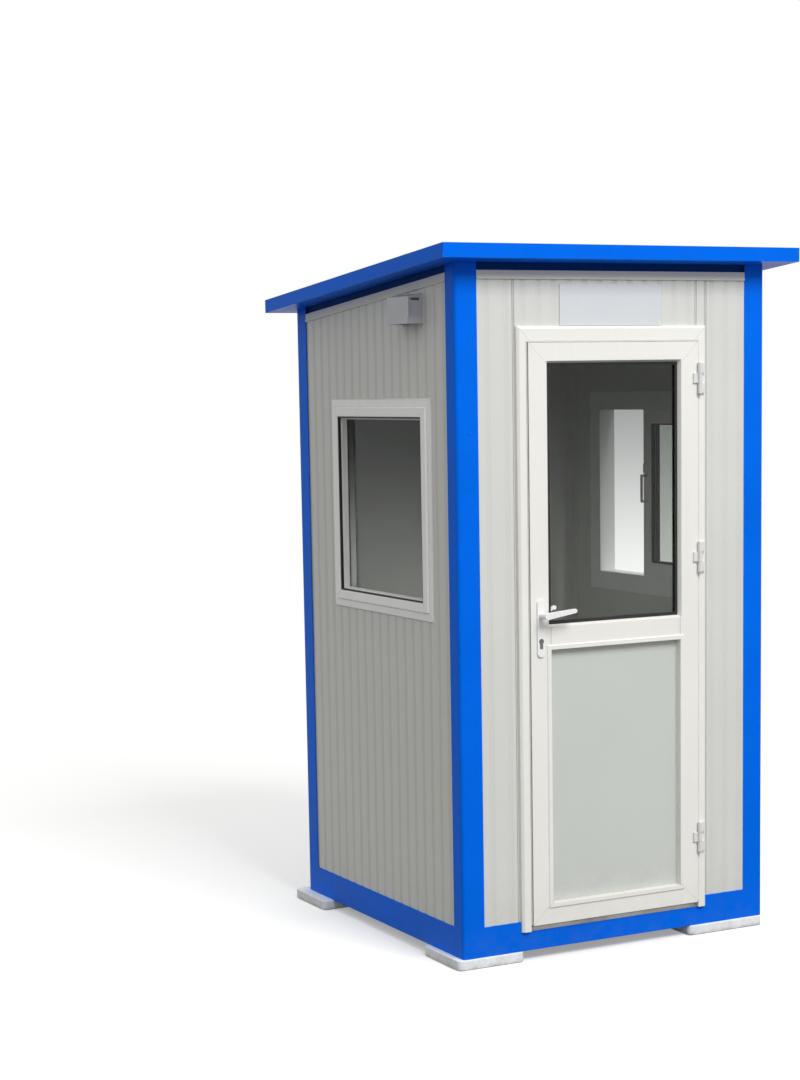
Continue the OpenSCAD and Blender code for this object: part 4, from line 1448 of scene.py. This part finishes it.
@dataclass
class Door(SubAssembly):
    """Door frame, leaf, infills, hinges, gaskets, seals and lock fittings.

    Attributes:
        bite: How far the leaf's profiles reach over the edges of its infills.
        glass_gasket: Sizes of the gaskets of the glass.
        panel_gasket: Sizes of the gaskets of the lower panel.
        jamb_face: Distance of the frame's inner faces from its outer edge.
        stop: How far the frame's stop stands in from those faces.
        stop_gap: Distance of the stop from the closed leaf.
        seal: Width and depth of the stop seal.
        seal_inset: Distance of the stop seal from the stop's edge.
        seal_foot: Height of the stop seal's foot.
        seal_heads: Distance of the ends of the upright seals and of the level one's top from the frame's top.
        head_gap: Width of the gap over the leaf.
        lip_widths: Widths of the lips at the left, the right and the top of the gap.
        lip_depths: Distance of the lips' front and back from the leaf's face.
        lip_foot: Height of the lips' feet over the leaf's lower edge.
        hinge_heights: Heights of the hinges' middles.
        barrel: Radius of the hinges' barrels.
        barrel_half: Half of their length.
        hinge_cap: Radius and height of the points of a cap on a barrel.
        seam: Half of the width of the middle rail's seams.
        seam_depth: How deep the seams reach into the leaf.
        seam_ends: Height of the seams' ends over the lower panel's top and over the glass's foot.
        lock_height: Height of the lever's spindle.
        strike: Sizes of the strike plate.
        strike_depth: Distance of the strike plate's middle from the frame's face.
        recess_half: Half of the width of the strike plate's recess.
        recess_height: Height of that recess.
        edge_plate: Sizes of the lock's plate in the leaf's edge.
        edge_depth: Distance of that plate's middle from the leaf's face.
        latch_half: Half of the latch's width.
        latch_heights: Heights of the latch's lower and upper edge over the spindle.
        latch_rise: How far the drawn-in latch stands out.
        frame_cap: Radius and height of the points of a cap over a frame fixing.
        cap_heights: Heights of those caps.
        cap_offset: Distance of those caps from the strike plate's middle line.
    """

    title: ClassVar[str] = "door"

    bite: float = 0.010
    glass_gasket: Gasket = Gasket(width=0.010, outer=0.006, inner=0.005, rounding=0.0008)
    panel_gasket: Gasket = Gasket(width=0.003, outer=0.002, inner=0.002, rounding=0.0005)
    jamb_face: float = 0.033
    stop: float = 0.020
    stop_gap: float = 0.005
    seal: Pair = (0.010, 0.004)
    seal_inset: float = 0.003
    seal_foot: float = 0.118
    seal_heads: Pair = (0.053, 0.055)
    head_gap: float = 0.005
    lip_widths: tuple[float, float, float] = (0.0022, 0.0034, 0.0040)
    lip_depths: Pair = (0.0068, 0.0128)
    lip_foot: float = 0.004
    hinge_heights: tuple[float, ...] = (0.350, 1.316, 1.916)
    barrel: float = 0.008
    barrel_half: float = 0.0498
    hinge_cap: tuple[Pair, ...] = (
        (0.0, 0.0), (0.0078, 0.0), (0.0078, 0.0012), (0.0066, 0.0030), (0.0040, 0.0040), (0.0, 0.0043))
    seam: float = 0.0005
    seam_depth: float = 0.0006
    seam_ends: Pair = (0.009, 0.0095)
    lock_height: float = 1.140
    strike: LockPlate = LockPlate(
        half=(0.012, 0.080), thickness=0.0010, screw_reach=0.066, screw=(0.0032, 0.0008))
    strike_depth: float = 0.020
    recess_half: float = 0.006
    recess_height: float = 0.030
    edge_plate: LockPlate = LockPlate(
        half=(0.010, 0.100), thickness=0.0008, screw_reach=0.090, screw=(0.0030, 0.0006))
    edge_depth: float = 0.022
    latch_half: float = 0.005
    latch_heights: Pair = (0.007, 0.023)
    latch_rise: float = 0.0019
    frame_cap: tuple[Pair, ...] = ((0.0, 0.0), (0.006, 0.0), (0.006, 0.0004), (0.0052, 0.0008), (0.0, 0.0009))
    cap_heights: tuple[float, ...] = (0.42, 0.86, 1.62, 1.96)
    cap_offset: float = 0.006

    def dress(self) -> None:
        """Gives the door's nodes their finishes."""
        fin = self.finishes
        for node, open_foot, width in (("door_frame", True, 0.0018), ("door_leaf", False, 0.0015)):
            seams = (ProfileSeam.around(node, Facing.FRONT, open_foot=open_foot),)
            dress(node, WhiteProfile(f"{node}_profile", seams=seams).build(fin.effects), width, segments=3)
        dress("door_glass", fin.door_pane, width=0.0)
        dress("door_lower_panel", fin.infill, width=0.0005)
        dress("hinge_frame_halves", fin.hinge, width=0.0006)
        dress("hinge_leaf_halves", fin.hinge, width=0.0006)

    def build(self) -> None:
        """Makes the gaskets, seals, caps, seams and lock fittings."""
        fin = self.finishes
        self.infill_gasket("door_glass_gasket", "door_glass", self.glass_gasket, fin.rubber)
        self.infill_gasket("lower_panel_gasket", "door_lower_panel", self.panel_gasket, fin.sealant)
        self.stop_seal()
        self.gap_lips()
        self.hinge_caps()
        self.rail_seams()
        self.strike_plate()
        self.frame_caps()
        self.lock_edge()

    def infill_gasket(self, name: str, node: str, size: Gasket, material: Material) -> None:
        """Makes the gaskets that hold one of the leaf's infills.

        Args:
            name: The new piece's name.
            node: The infill's node.
            size: The gaskets' sizes.
            material: Their finish.
        """
        low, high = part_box(node)
        opening = outline(node, Facing.FRONT, self.bite)
        shape = bmesh.new()
        add_ring(shape, Facing.FRONT.at((0, low.y - HAIR, 0)), *opening, size.width, size.outer)
        add_ring(shape, Facing.BACK.at((0, high.y + HAIR, 0)), *opening, size.width, size.inner)
        self.add(name, shape, material, Body.DOOR, width=size.rounding)

    def stop_seal(self) -> None:
        """Makes the seal that lies on the frame's stop behind the closed leaf."""
        low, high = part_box("door_frame")
        width, depth = self.seal
        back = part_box("door_leaf")[1].y + self.stop_gap
        front = back - depth
        edge = self.jamb_face + self.stop - self.seal_inset
        left, right = low.x + edge, high.x - edge
        upright, level = (high.z - head for head in self.seal_heads)
        shape = bmesh.new()
        for x in (left - width, right):
            add_block(shape, (x, front, self.seal_foot), (x + width, back, upright))
        add_block(shape, (left - width, front, level - width), (right + width, back, level))
        self.add("door_stop_seal", shape, self.finishes.rubber, width=0.0012)

    def gap_lips(self) -> None:
        """Makes the pale seal lips in the gap between the frame and the leaf."""
        low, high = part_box("door_frame")
        leaf_low, leaf_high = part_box("door_leaf")
        left, right, head = low.x + self.jamb_face, high.x - self.jamb_face, leaf_high.z + self.head_gap
        foot, top = leaf_low.z + self.lip_foot, head + SINK
        front, back = (leaf_low.y + depth for depth in self.lip_depths)
        at_left, at_right, at_top = self.lip_widths
        shape = bmesh.new()
        add_block(shape, (left - SINK, front, foot), (left + at_left, back, top))
        add_block(shape, (right - at_right, front, foot), (right + SINK, back, top))
        add_block(shape, (left + at_left, front, head - at_top), (right - at_right, back, top))
        self.add("door_gap_lips", shape, self.finishes.sealant, width=0.0006)

    def hinge_caps(self) -> None:
        """Makes the caps on both ends of the hinges' barrels."""
        cap = Turned(self.hinge_cap, steps=24)
        low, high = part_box("hinge_leaf_halves")
        x, y = high.x - self.barrel, low.y + self.barrel
        shape = bmesh.new()
        for z in self.hinge_heights:
            upper, lower = (x, y, z + self.barrel_half), (x, y, z - self.barrel_half)
            cap.stamp(shape, Facing.TOP.at(upper), Facing.UNDER.at(lower))
        self.add("hinge_caps", shape, self.finishes.hinge, slot="white_fitting")

    def rail_seams(self) -> None:
        """Makes the two fine seams where the middle rail meets the stiles."""
        glass_low, glass_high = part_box("door_glass")
        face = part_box("door_leaf")[0].y
        front, back = face - HAIR, face + self.seam_depth
        foot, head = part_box("door_lower_panel")[1].z + self.seam_ends[0], glass_low.z + self.seam_ends[1]
        shape = bmesh.new()
        for x in (glass_low.x + self.bite, glass_high.x - self.bite):
            add_block(shape, (x - self.seam, front, foot), (x + self.seam, back, head))
        self.add("mid_rail_seams", shape, self.finishes.joint, Body.DOOR)

    def strike_plate(self) -> None:
        """Makes the strike plate with its screws, and a flat black sheet as painted shade for its recess,
        seen with the door open.
        """
        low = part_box("door_frame")[0]
        x, y, z = place = (low.x + self.jamb_face, low.y + self.strike_depth, self.lock_height)
        shape = bmesh.new()
        self.strike.add_to(shape, Facing.RIGHT, place)
        self.strike.add_screws_to(shape, Facing.RIGHT, place)
        self.add("strike_plate", shape, self.finishes.zinc, width=0.0003)
        face = x + self.strike.thickness
        # Painted shade: a flat black sheet on the strike plate stands for the shade in its latch recess
        shape = bmesh.new()
        add_block(
            shape, (face - HAIR, y - self.recess_half, z),
            (face + HAIR, y + self.recess_half, z + self.recess_height))
        self.add("strike_recess_shade", shape, self.finishes.rubber)

    def frame_caps(self) -> None:
        """Makes the caps over the fixings in the frame's jambs, seen with the door open."""
        cap = Turned(self.frame_cap, steps=20)
        low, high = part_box("door_frame")
        left, right = low.x + self.jamb_face, high.x - self.jamb_face
        y = low.y + self.strike_depth + self.cap_offset
        shape = bmesh.new()
        for z in self.cap_heights:
            cap.stamp(shape, Facing.RIGHT.at((left, y, z)), Facing.LEFT.at((right, y, z)))
        self.add("frame_caps", shape, self.finishes.fitting, slot="white_fitting")

    def lock_edge(self) -> None:
        """Makes the lock's plate in the leaf's edge, with its screws and the drawn-in latch."""
        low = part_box("door_leaf")[0]
        x, y, z = place = (low.x, low.y + self.edge_depth, self.lock_height)
        foot, head = (z + height for height in self.latch_heights)
        shape = bmesh.new()
        self.edge_plate.add_to(shape, Facing.LEFT, place)
        add_block(
            shape, (x - self.latch_rise, y - self.latch_half, foot),
            (x - self.edge_plate.thickness + HAIR, y + self.latch_half, head))
        self.edge_plate.add_screws_to(shape, Facing.LEFT, place)
        self.add("lock_face_plate", shape, self.finishes.zinc, Body.DOOR, width=0.0003)


@dataclass
class Handle(SubAssembly):
    """Lock plates, key cylinder and lever.

    Attributes:
        screw: Radius and height of the heads of the inner plate's screws.
        screw_margin: Distance of those screws from the plate's ends.
    """

    title: ClassVar[str] = "handle"

    screw: Pair = (0.0035, 0.0018)
    screw_margin: float = 0.014

    def dress(self) -> None:
        """Gives the lock and the lever their finishes."""
        dress("lock_plates", self.finishes.fitting, width=0.0020, segments=3)
        dress("key_cylinder", self.finishes.lock, width=0.0004)
        dress("lever_handle", self.finishes.fitting, width=0.0032, segments=4)

    def build(self) -> None:
        """Makes the screws of the inner lock plate."""
        low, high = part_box("lock_plates")
        middle, margin = (low.x + high.x) / 2, self.screw_margin
        shape = bmesh.new()
        pan_screw(*self.screw).stamp(
            shape, *(Facing.BACK.at((middle, high.y, z)) for z in (low.z + margin, high.z - margin)))
        self.add("lock_plate_screws", shape, self.finishes.zinc, Body.DOOR)


@dataclass
class WindowUnit(SubAssembly):
    """One window: frame, sashes, panes, gaskets and sealant.

    Attributes:
        side: The first word of its nodes' names.
        facing: The side of the booth that it is on.
        sashes: Its sash nodes.
        flange_inset: How far the frame's flange lies inside the frame's box.
        wall_face: Distance of the wall's outer face from the middle of the booth, with a hair of air.
        sealant_inset: How far the sealant's outer edge lies inside the frame's box.
        sealant: Width, rise and slope of the sealant.
    """

    side: ClassVar[str]
    facing: ClassVar[Facing]
    sashes: ClassVar[tuple[str, ...]]

    flange_inset: float = 0.010
    wall_face: float = 0.5972
    sealant_inset: float = 0.0065
    sealant: tuple[float, float, float] = (0.0034, 0.0036, 0.0022)

    def pane(self) -> Material:
        """Gives the finish of the window's glass."""
        raise NotImplementedError

    def add_gaskets(self, shape: bmesh.types.BMesh) -> None:
        """Adds the gaskets of the window's panes to a mesh."""
        raise NotImplementedError

    def dress(self) -> None:
        """Gives the window's nodes their finishes."""
        frame_node = f"{self.side}_window_frame"
        for node in (frame_node, *self.sashes):
            inset = self.flange_inset if node == frame_node else 0.0
            finish = WhiteProfile(
                f"{node}_profile", (0.90, 0.90, 0.88), dirt_level=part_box(node)[0].z, dirt_reach=0.05,
                seams=(ProfileSeam.around(node, self.facing, inset),))
            dress(node, finish.build(self.finishes.effects), width=0.0015, segments=3)
        dress(f"{self.side}_window_glass", self.pane(), width=0.0)

    def build(self) -> None:
        """Makes the black gaskets of each pane and the sealant round the frame."""
        shape = bmesh.new()
        self.add_gaskets(shape)
        self.add(f"{self.side}_pane_gaskets", shape, self.finishes.rubber, width=0.0007)
        self.build_trim()
        shape = bmesh.new()
        add_ring(
            shape, self.facing.at((self.facing.out * self.wall_face, 0, 0)),
            *outline(f"{self.side}_window_frame", self.facing, self.sealant_inset), *self.sealant)
        self.add(f"{self.side}_window_sealant", shape, self.finishes.sealant, width=0.0006)

    def build_trim(self) -> None:
        """Makes the trim that only one of the windows has."""


@dataclass
class LeftWindow(WindowUnit):
    """Fixed pane in the left wall, held by a glazing bead.

    Attributes:
        bead: Width of the glazing bead.
        front_gasket: Width and rise of the gasket before the bead.
        back_gasket: Width and rise of the gasket on the room side of the pane.
        lip: Width and rise of the bead's lip on the pane.
    """

    title: ClassVar[str] = "left window"
    side: ClassVar[str] = "left"
    facing: ClassVar[Facing] = Facing.LEFT
    sashes: ClassVar[tuple[str, ...]] = ("left_window_sash",)

    bead: float = 0.008
    front_gasket: Pair = (0.0055, 0.0095)
    back_gasket: Pair = (0.004, 0.004)
    lip: Pair = (0.003, 0.003)

    def pane(self) -> Material:
        """Gives the finish of the window's glass."""
        return self.finishes.left_pane

    def add_gaskets(self, shape: bmesh.types.BMesh) -> None:
        """Adds the gaskets before the glazing bead and on the room side of the pane.

        Args:
            shape: The mesh that they go into.
        """
        front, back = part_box("left_window_sash")[0].x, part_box("left_window_glass")[1].x
        edge = outline("left_window_sash", Facing.LEFT)
        add_ring(shape, Facing.LEFT.at((front - HAIR, 0, 0)), *edge, *self.front_gasket)
        add_ring(shape, Facing.RIGHT.at((back + HAIR, 0, 0)), *edge, *self.back_gasket)

    def build_trim(self) -> None:
        """Makes the pale lip of the glazing bead on the pane."""
        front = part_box("left_window_glass")[0].x
        edge = outline("left_window_sash", Facing.LEFT, self.bead)
        shape = bmesh.new()
        add_ring(shape, Facing.LEFT.at((front - HAIR, 0, 0)), *edge, *self.lip)
        self.add("left_bead_lip", shape, self.finishes.sealant, width=0.0007)


@dataclass
class RightWindow(WindowUnit):
    """Two sashes in the right wall, one of them parked at the front, with a pull.

    Attributes:
        stile: Width of a sash's profiles.
        pane_half: Distance of a pane's faces from its middle, with a hair of air.
        gasket_width: Width of the gaskets.
        gasket_sink: How deep the gaskets lie under the sash's face.
    """

    title: ClassVar[str] = "right window"
    side: ClassVar[str] = "right"
    facing: ClassVar[Facing] = Facing.RIGHT
    sashes: ClassVar[tuple[str, ...]] = ("right_fixed_sash", "right_sliding_sash")

    stile: float = 0.050
    pane_half: float = 0.0026
    gasket_width: float = 0.005
    gasket_sink: float = 0.0015

    def pane(self) -> Material:
        """Gives the finish of the window's glass."""
        return self.finishes.right_pane

    def dress(self) -> None:
        """Gives the window's nodes and its pull their finishes."""
        super().dress()
        dress("window_pull", self.finishes.fitting, width=0.0012, segments=3)

    def add_gaskets(self, shape: bmesh.types.BMesh) -> None:
        """Adds the gaskets on both sides of each sash's pane.

        Args:
            shape: The mesh that they go into.
        """
        for node in self.sashes:
            low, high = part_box(node)
            middle = (low.x + high.x) / 2
            opening = outline(node, Facing.RIGHT, self.stile)
            for facing, face in ((Facing.LEFT, low.x), (Facing.RIGHT, high.x)):
                rise = abs(face - middle) - self.pane_half - self.gasket_sink
                place = facing.at((middle + facing.out * self.pane_half, 0, 0))
                add_ring(shape, place, *opening, self.gasket_width, rise)


@dataclass
class VentHood(SubAssembly):
    """Vent hood on the left wall."""

    title: ClassVar[str] = "vent hood"

    def dress(self) -> None:
        """Gives the hood its plastic."""
        dress("vent_hood", self.finishes.hood, width=0.0016, segments=3)


@dataclass
class SignPlate(SubAssembly):
    """Bare plate over the door.

    Attributes:
        screw: Radius and height of the screws' heads.
        screw_margin: Distance of the screws from the plate's edges.
    """

    title: ClassVar[str] = "sign plate"

    screw: Pair = (0.0026, 0.0012)
    screw_margin: float = 0.009

    def dress(self) -> None:
        """Gives the plate its white face."""
        dress("sign_plate", self.finishes.sign, width=0.0006)

    def build(self) -> None:
        """Makes the four small screws in the plate's corners."""
        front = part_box("sign_plate")[0].y
        lower, upper = outline("sign_plate", Facing.FRONT, self.screw_margin)
        shape = bmesh.new()
        pan_screw(*self.screw).stamp(shape, *(
            Facing.FRONT.at((x, front, z)) for x in (lower[0], upper[0]) for z in (lower[1], upper[1])))
        self.add("sign_screws", shape, self.finishes.fitting)


@dataclass(frozen=True)
class Studio:
    """Pale floor, soft lamp, white surroundings and the camera.

    Attributes:
        place: The camera's place.
        yaw: Its turn to the right of straight back, in degrees.
        pitch: Its turn upwards, in degrees.
        roll: Its turn about its own axis, in degrees.
        focal: Its focal length in pixels of the picture.
        middle: How far its axis lies from the picture's middle, in pixels.
        picture: The picture's width and height, in pixels.
        sensor: Width of its sensor in millimetres.
        clip: Nearest and farthest distance that it shows.
        lamp_place: The lamp's place.
        lamp_aim: The point that the lamp faces.
        lamp_size: The side of the lamp's square.
        lamp_power: Its power in watts.
        sky: How strongly the surroundings light the booth.
        floor_reach: Half of the floor's side.
        floor_level: Height of the floor, a little under the slabs.
        floor_colour: Its colour near the booth.
        floor_rough: Its roughness.
        lift: How strongly it glows by itself, which makes its shadows paler.
        fade: Distances at which it starts and ends to turn white.
        bounce_colour: Its colour for the light that it throws back on the booth.
    """

    place: Point = (-3.940, -6.690, 1.906)
    yaw: float = 27.158
    pitch: float = -7.265
    roll: float = -1.013
    focal: float = 2173.0
    middle: Pair = (0.0, 123.4)
    picture: tuple[int, int] = (800, 1080)
    sensor: float = 36.0
    clip: Pair = (0.1, 200.0)
    lamp_place: Point = (0.6, -8.9, 9.4)
    lamp_aim: Point = (0.0, 0.0, 1.1)
    lamp_size: float = 5.0
    lamp_power: float = 1110.0
    sky: float = 0.70
    floor_reach: float = 60.0
    floor_level: float = -0.0005
    floor_colour: Colour = (0.80, 0.80, 0.79)
    floor_rough: float = 0.9
    lift: float = 0.30
    fade: Pair = (2.0, 9.0)
    bounce_colour: Colour = (0.17, 0.17, 0.17)

    def camera(self) -> None:
        """Makes the camera at the photograph's place and angle."""
        data = bpy.data.cameras.new("view")
        camera = placed("view", data)
        yaw, pitch, roll = (math.radians(angle) for angle in (self.yaw, self.pitch, self.roll))
        ahead = Vector((math.sin(yaw) * math.cos(pitch), math.cos(yaw) * math.cos(pitch), math.sin(pitch)))
        level = Vector((math.cos(yaw), -math.sin(yaw), 0.0))
        up = level.cross(ahead)
        right = math.cos(roll) * level + math.sin(roll) * up
        up = math.cos(roll) * up - math.sin(roll) * level
        turn = Matrix((right, up, -ahead)).transposed().to_4x4()
        camera.matrix_world = Matrix.Translation(self.place) @ turn
        long_side = max(self.picture)
        data.sensor_width = self.sensor
        data.lens = self.focal / long_side * self.sensor
        data.shift_x, data.shift_y = -self.middle[0] / long_side, self.middle[1] / long_side
        data.clip_start, data.clip_end = self.clip
        bpy.context.scene.camera = camera

    def lamp(self) -> None:
        """Makes the soft square lamp that faces the booth."""
        data = bpy.data.lights.new("key_lamp", "AREA")
        data.shape, data.size, data.energy = "SQUARE", self.lamp_size, self.lamp_power
        aim = Vector(self.lamp_aim) - Vector(self.lamp_place)
        turn = aim.to_track_quat("-Z", "Y").to_matrix().to_4x4()
        placed("key_lamp", data).matrix_world = Matrix.Translation(self.lamp_place) @ turn

    def surroundings(self) -> None:
        """Makes the world: white to the eye, in glass and in gloss, and dimmer as a lamp."""
        world = bpy.data.worlds.new("surroundings")
        world.use_nodes = True
        bpy.context.scene.world = world
        graph = Graph(world.node_tree)
        dim, white = graph.found("BACKGROUND"), graph.node("Background")
        for background, strength in ((dim, self.sky), (white, 1.0)):
            graph.put(background.inputs["Color"], WHITE)
            graph.put(background.inputs["Strength"], strength)
        seen = graph.mix(graph.seen(), dim.outputs[0], white.outputs[0])
        graph.show(seen, "OUTPUT_WORLD")

    def ground(self) -> None:
        """Makes the pale floor, which fades to white far from the booth."""
        shape = bmesh.new()
        bmesh.ops.create_grid(
            shape, x_segments=2, y_segments=2, size=self.floor_reach,
            matrix=Matrix.Translation((0.0, 0.0, self.floor_level)))
        obj = placed("studio_floor", mesh_of("studio_floor", shape))
        material, graph, shader = new_material("studio_floor_face")
        graph.put(shader["Base Color"], (*self.floor_colour, 1.0))
        graph.put(shader["Roughness"], self.floor_rough)
        graph.put(shader["Specular IOR Level"], 0.0)
        lift, white = graph.node("Emission"), graph.node("Emission")
        for glow, strength in ((lift, self.lift), (white, 1.0)):
            graph.put(glow.inputs["Color"], WHITE)
            graph.put(glow.inputs["Strength"], strength)
        lifted = graph.node("AddShader")
        graph.put(lifted.inputs[0], graph.found("BSDF_PRINCIPLED").outputs["BSDF"])
        graph.put(lifted.inputs[1], lift.outputs[0])
        length = graph.node("VectorMath", operation="LENGTH")
        graph.put(length.inputs[0], graph.coords())
        far = graph.fit(length.outputs["Value"], *self.fade)
        bounce = graph.node("BsdfDiffuse")
        graph.put(bounce.inputs["Color"], (*self.bounce_colour, 1.0))
        faded = graph.mix(far, lifted.outputs[0], white.outputs[0])
        seen = graph.mix(graph.seen(), bounce.outputs[0], faded)
        graph.show(seen)
        obj.data.materials.append(material)

    def build(self) -> None:
        """Makes the whole studio."""
        self.camera()
        self.lamp()
        self.surroundings()
        self.ground()
        bpy.context.scene.view_settings.view_transform = "Standard"


def main() -> None:
    """Builds every sub-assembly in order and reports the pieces."""
    logging.basicConfig(level=logging.INFO, format="%(message)s")
    finishes = Finishes()
    for kind in (Base, CornerPosts, Walls, Roof, Door, Handle, LeftWindow, RightWindow, VentHood, SignPlate):
        part = kind(finishes)
        part.dress()
        part.build()
        part.report()
    Studio().build()


if __name__ == "__main__":
    main()
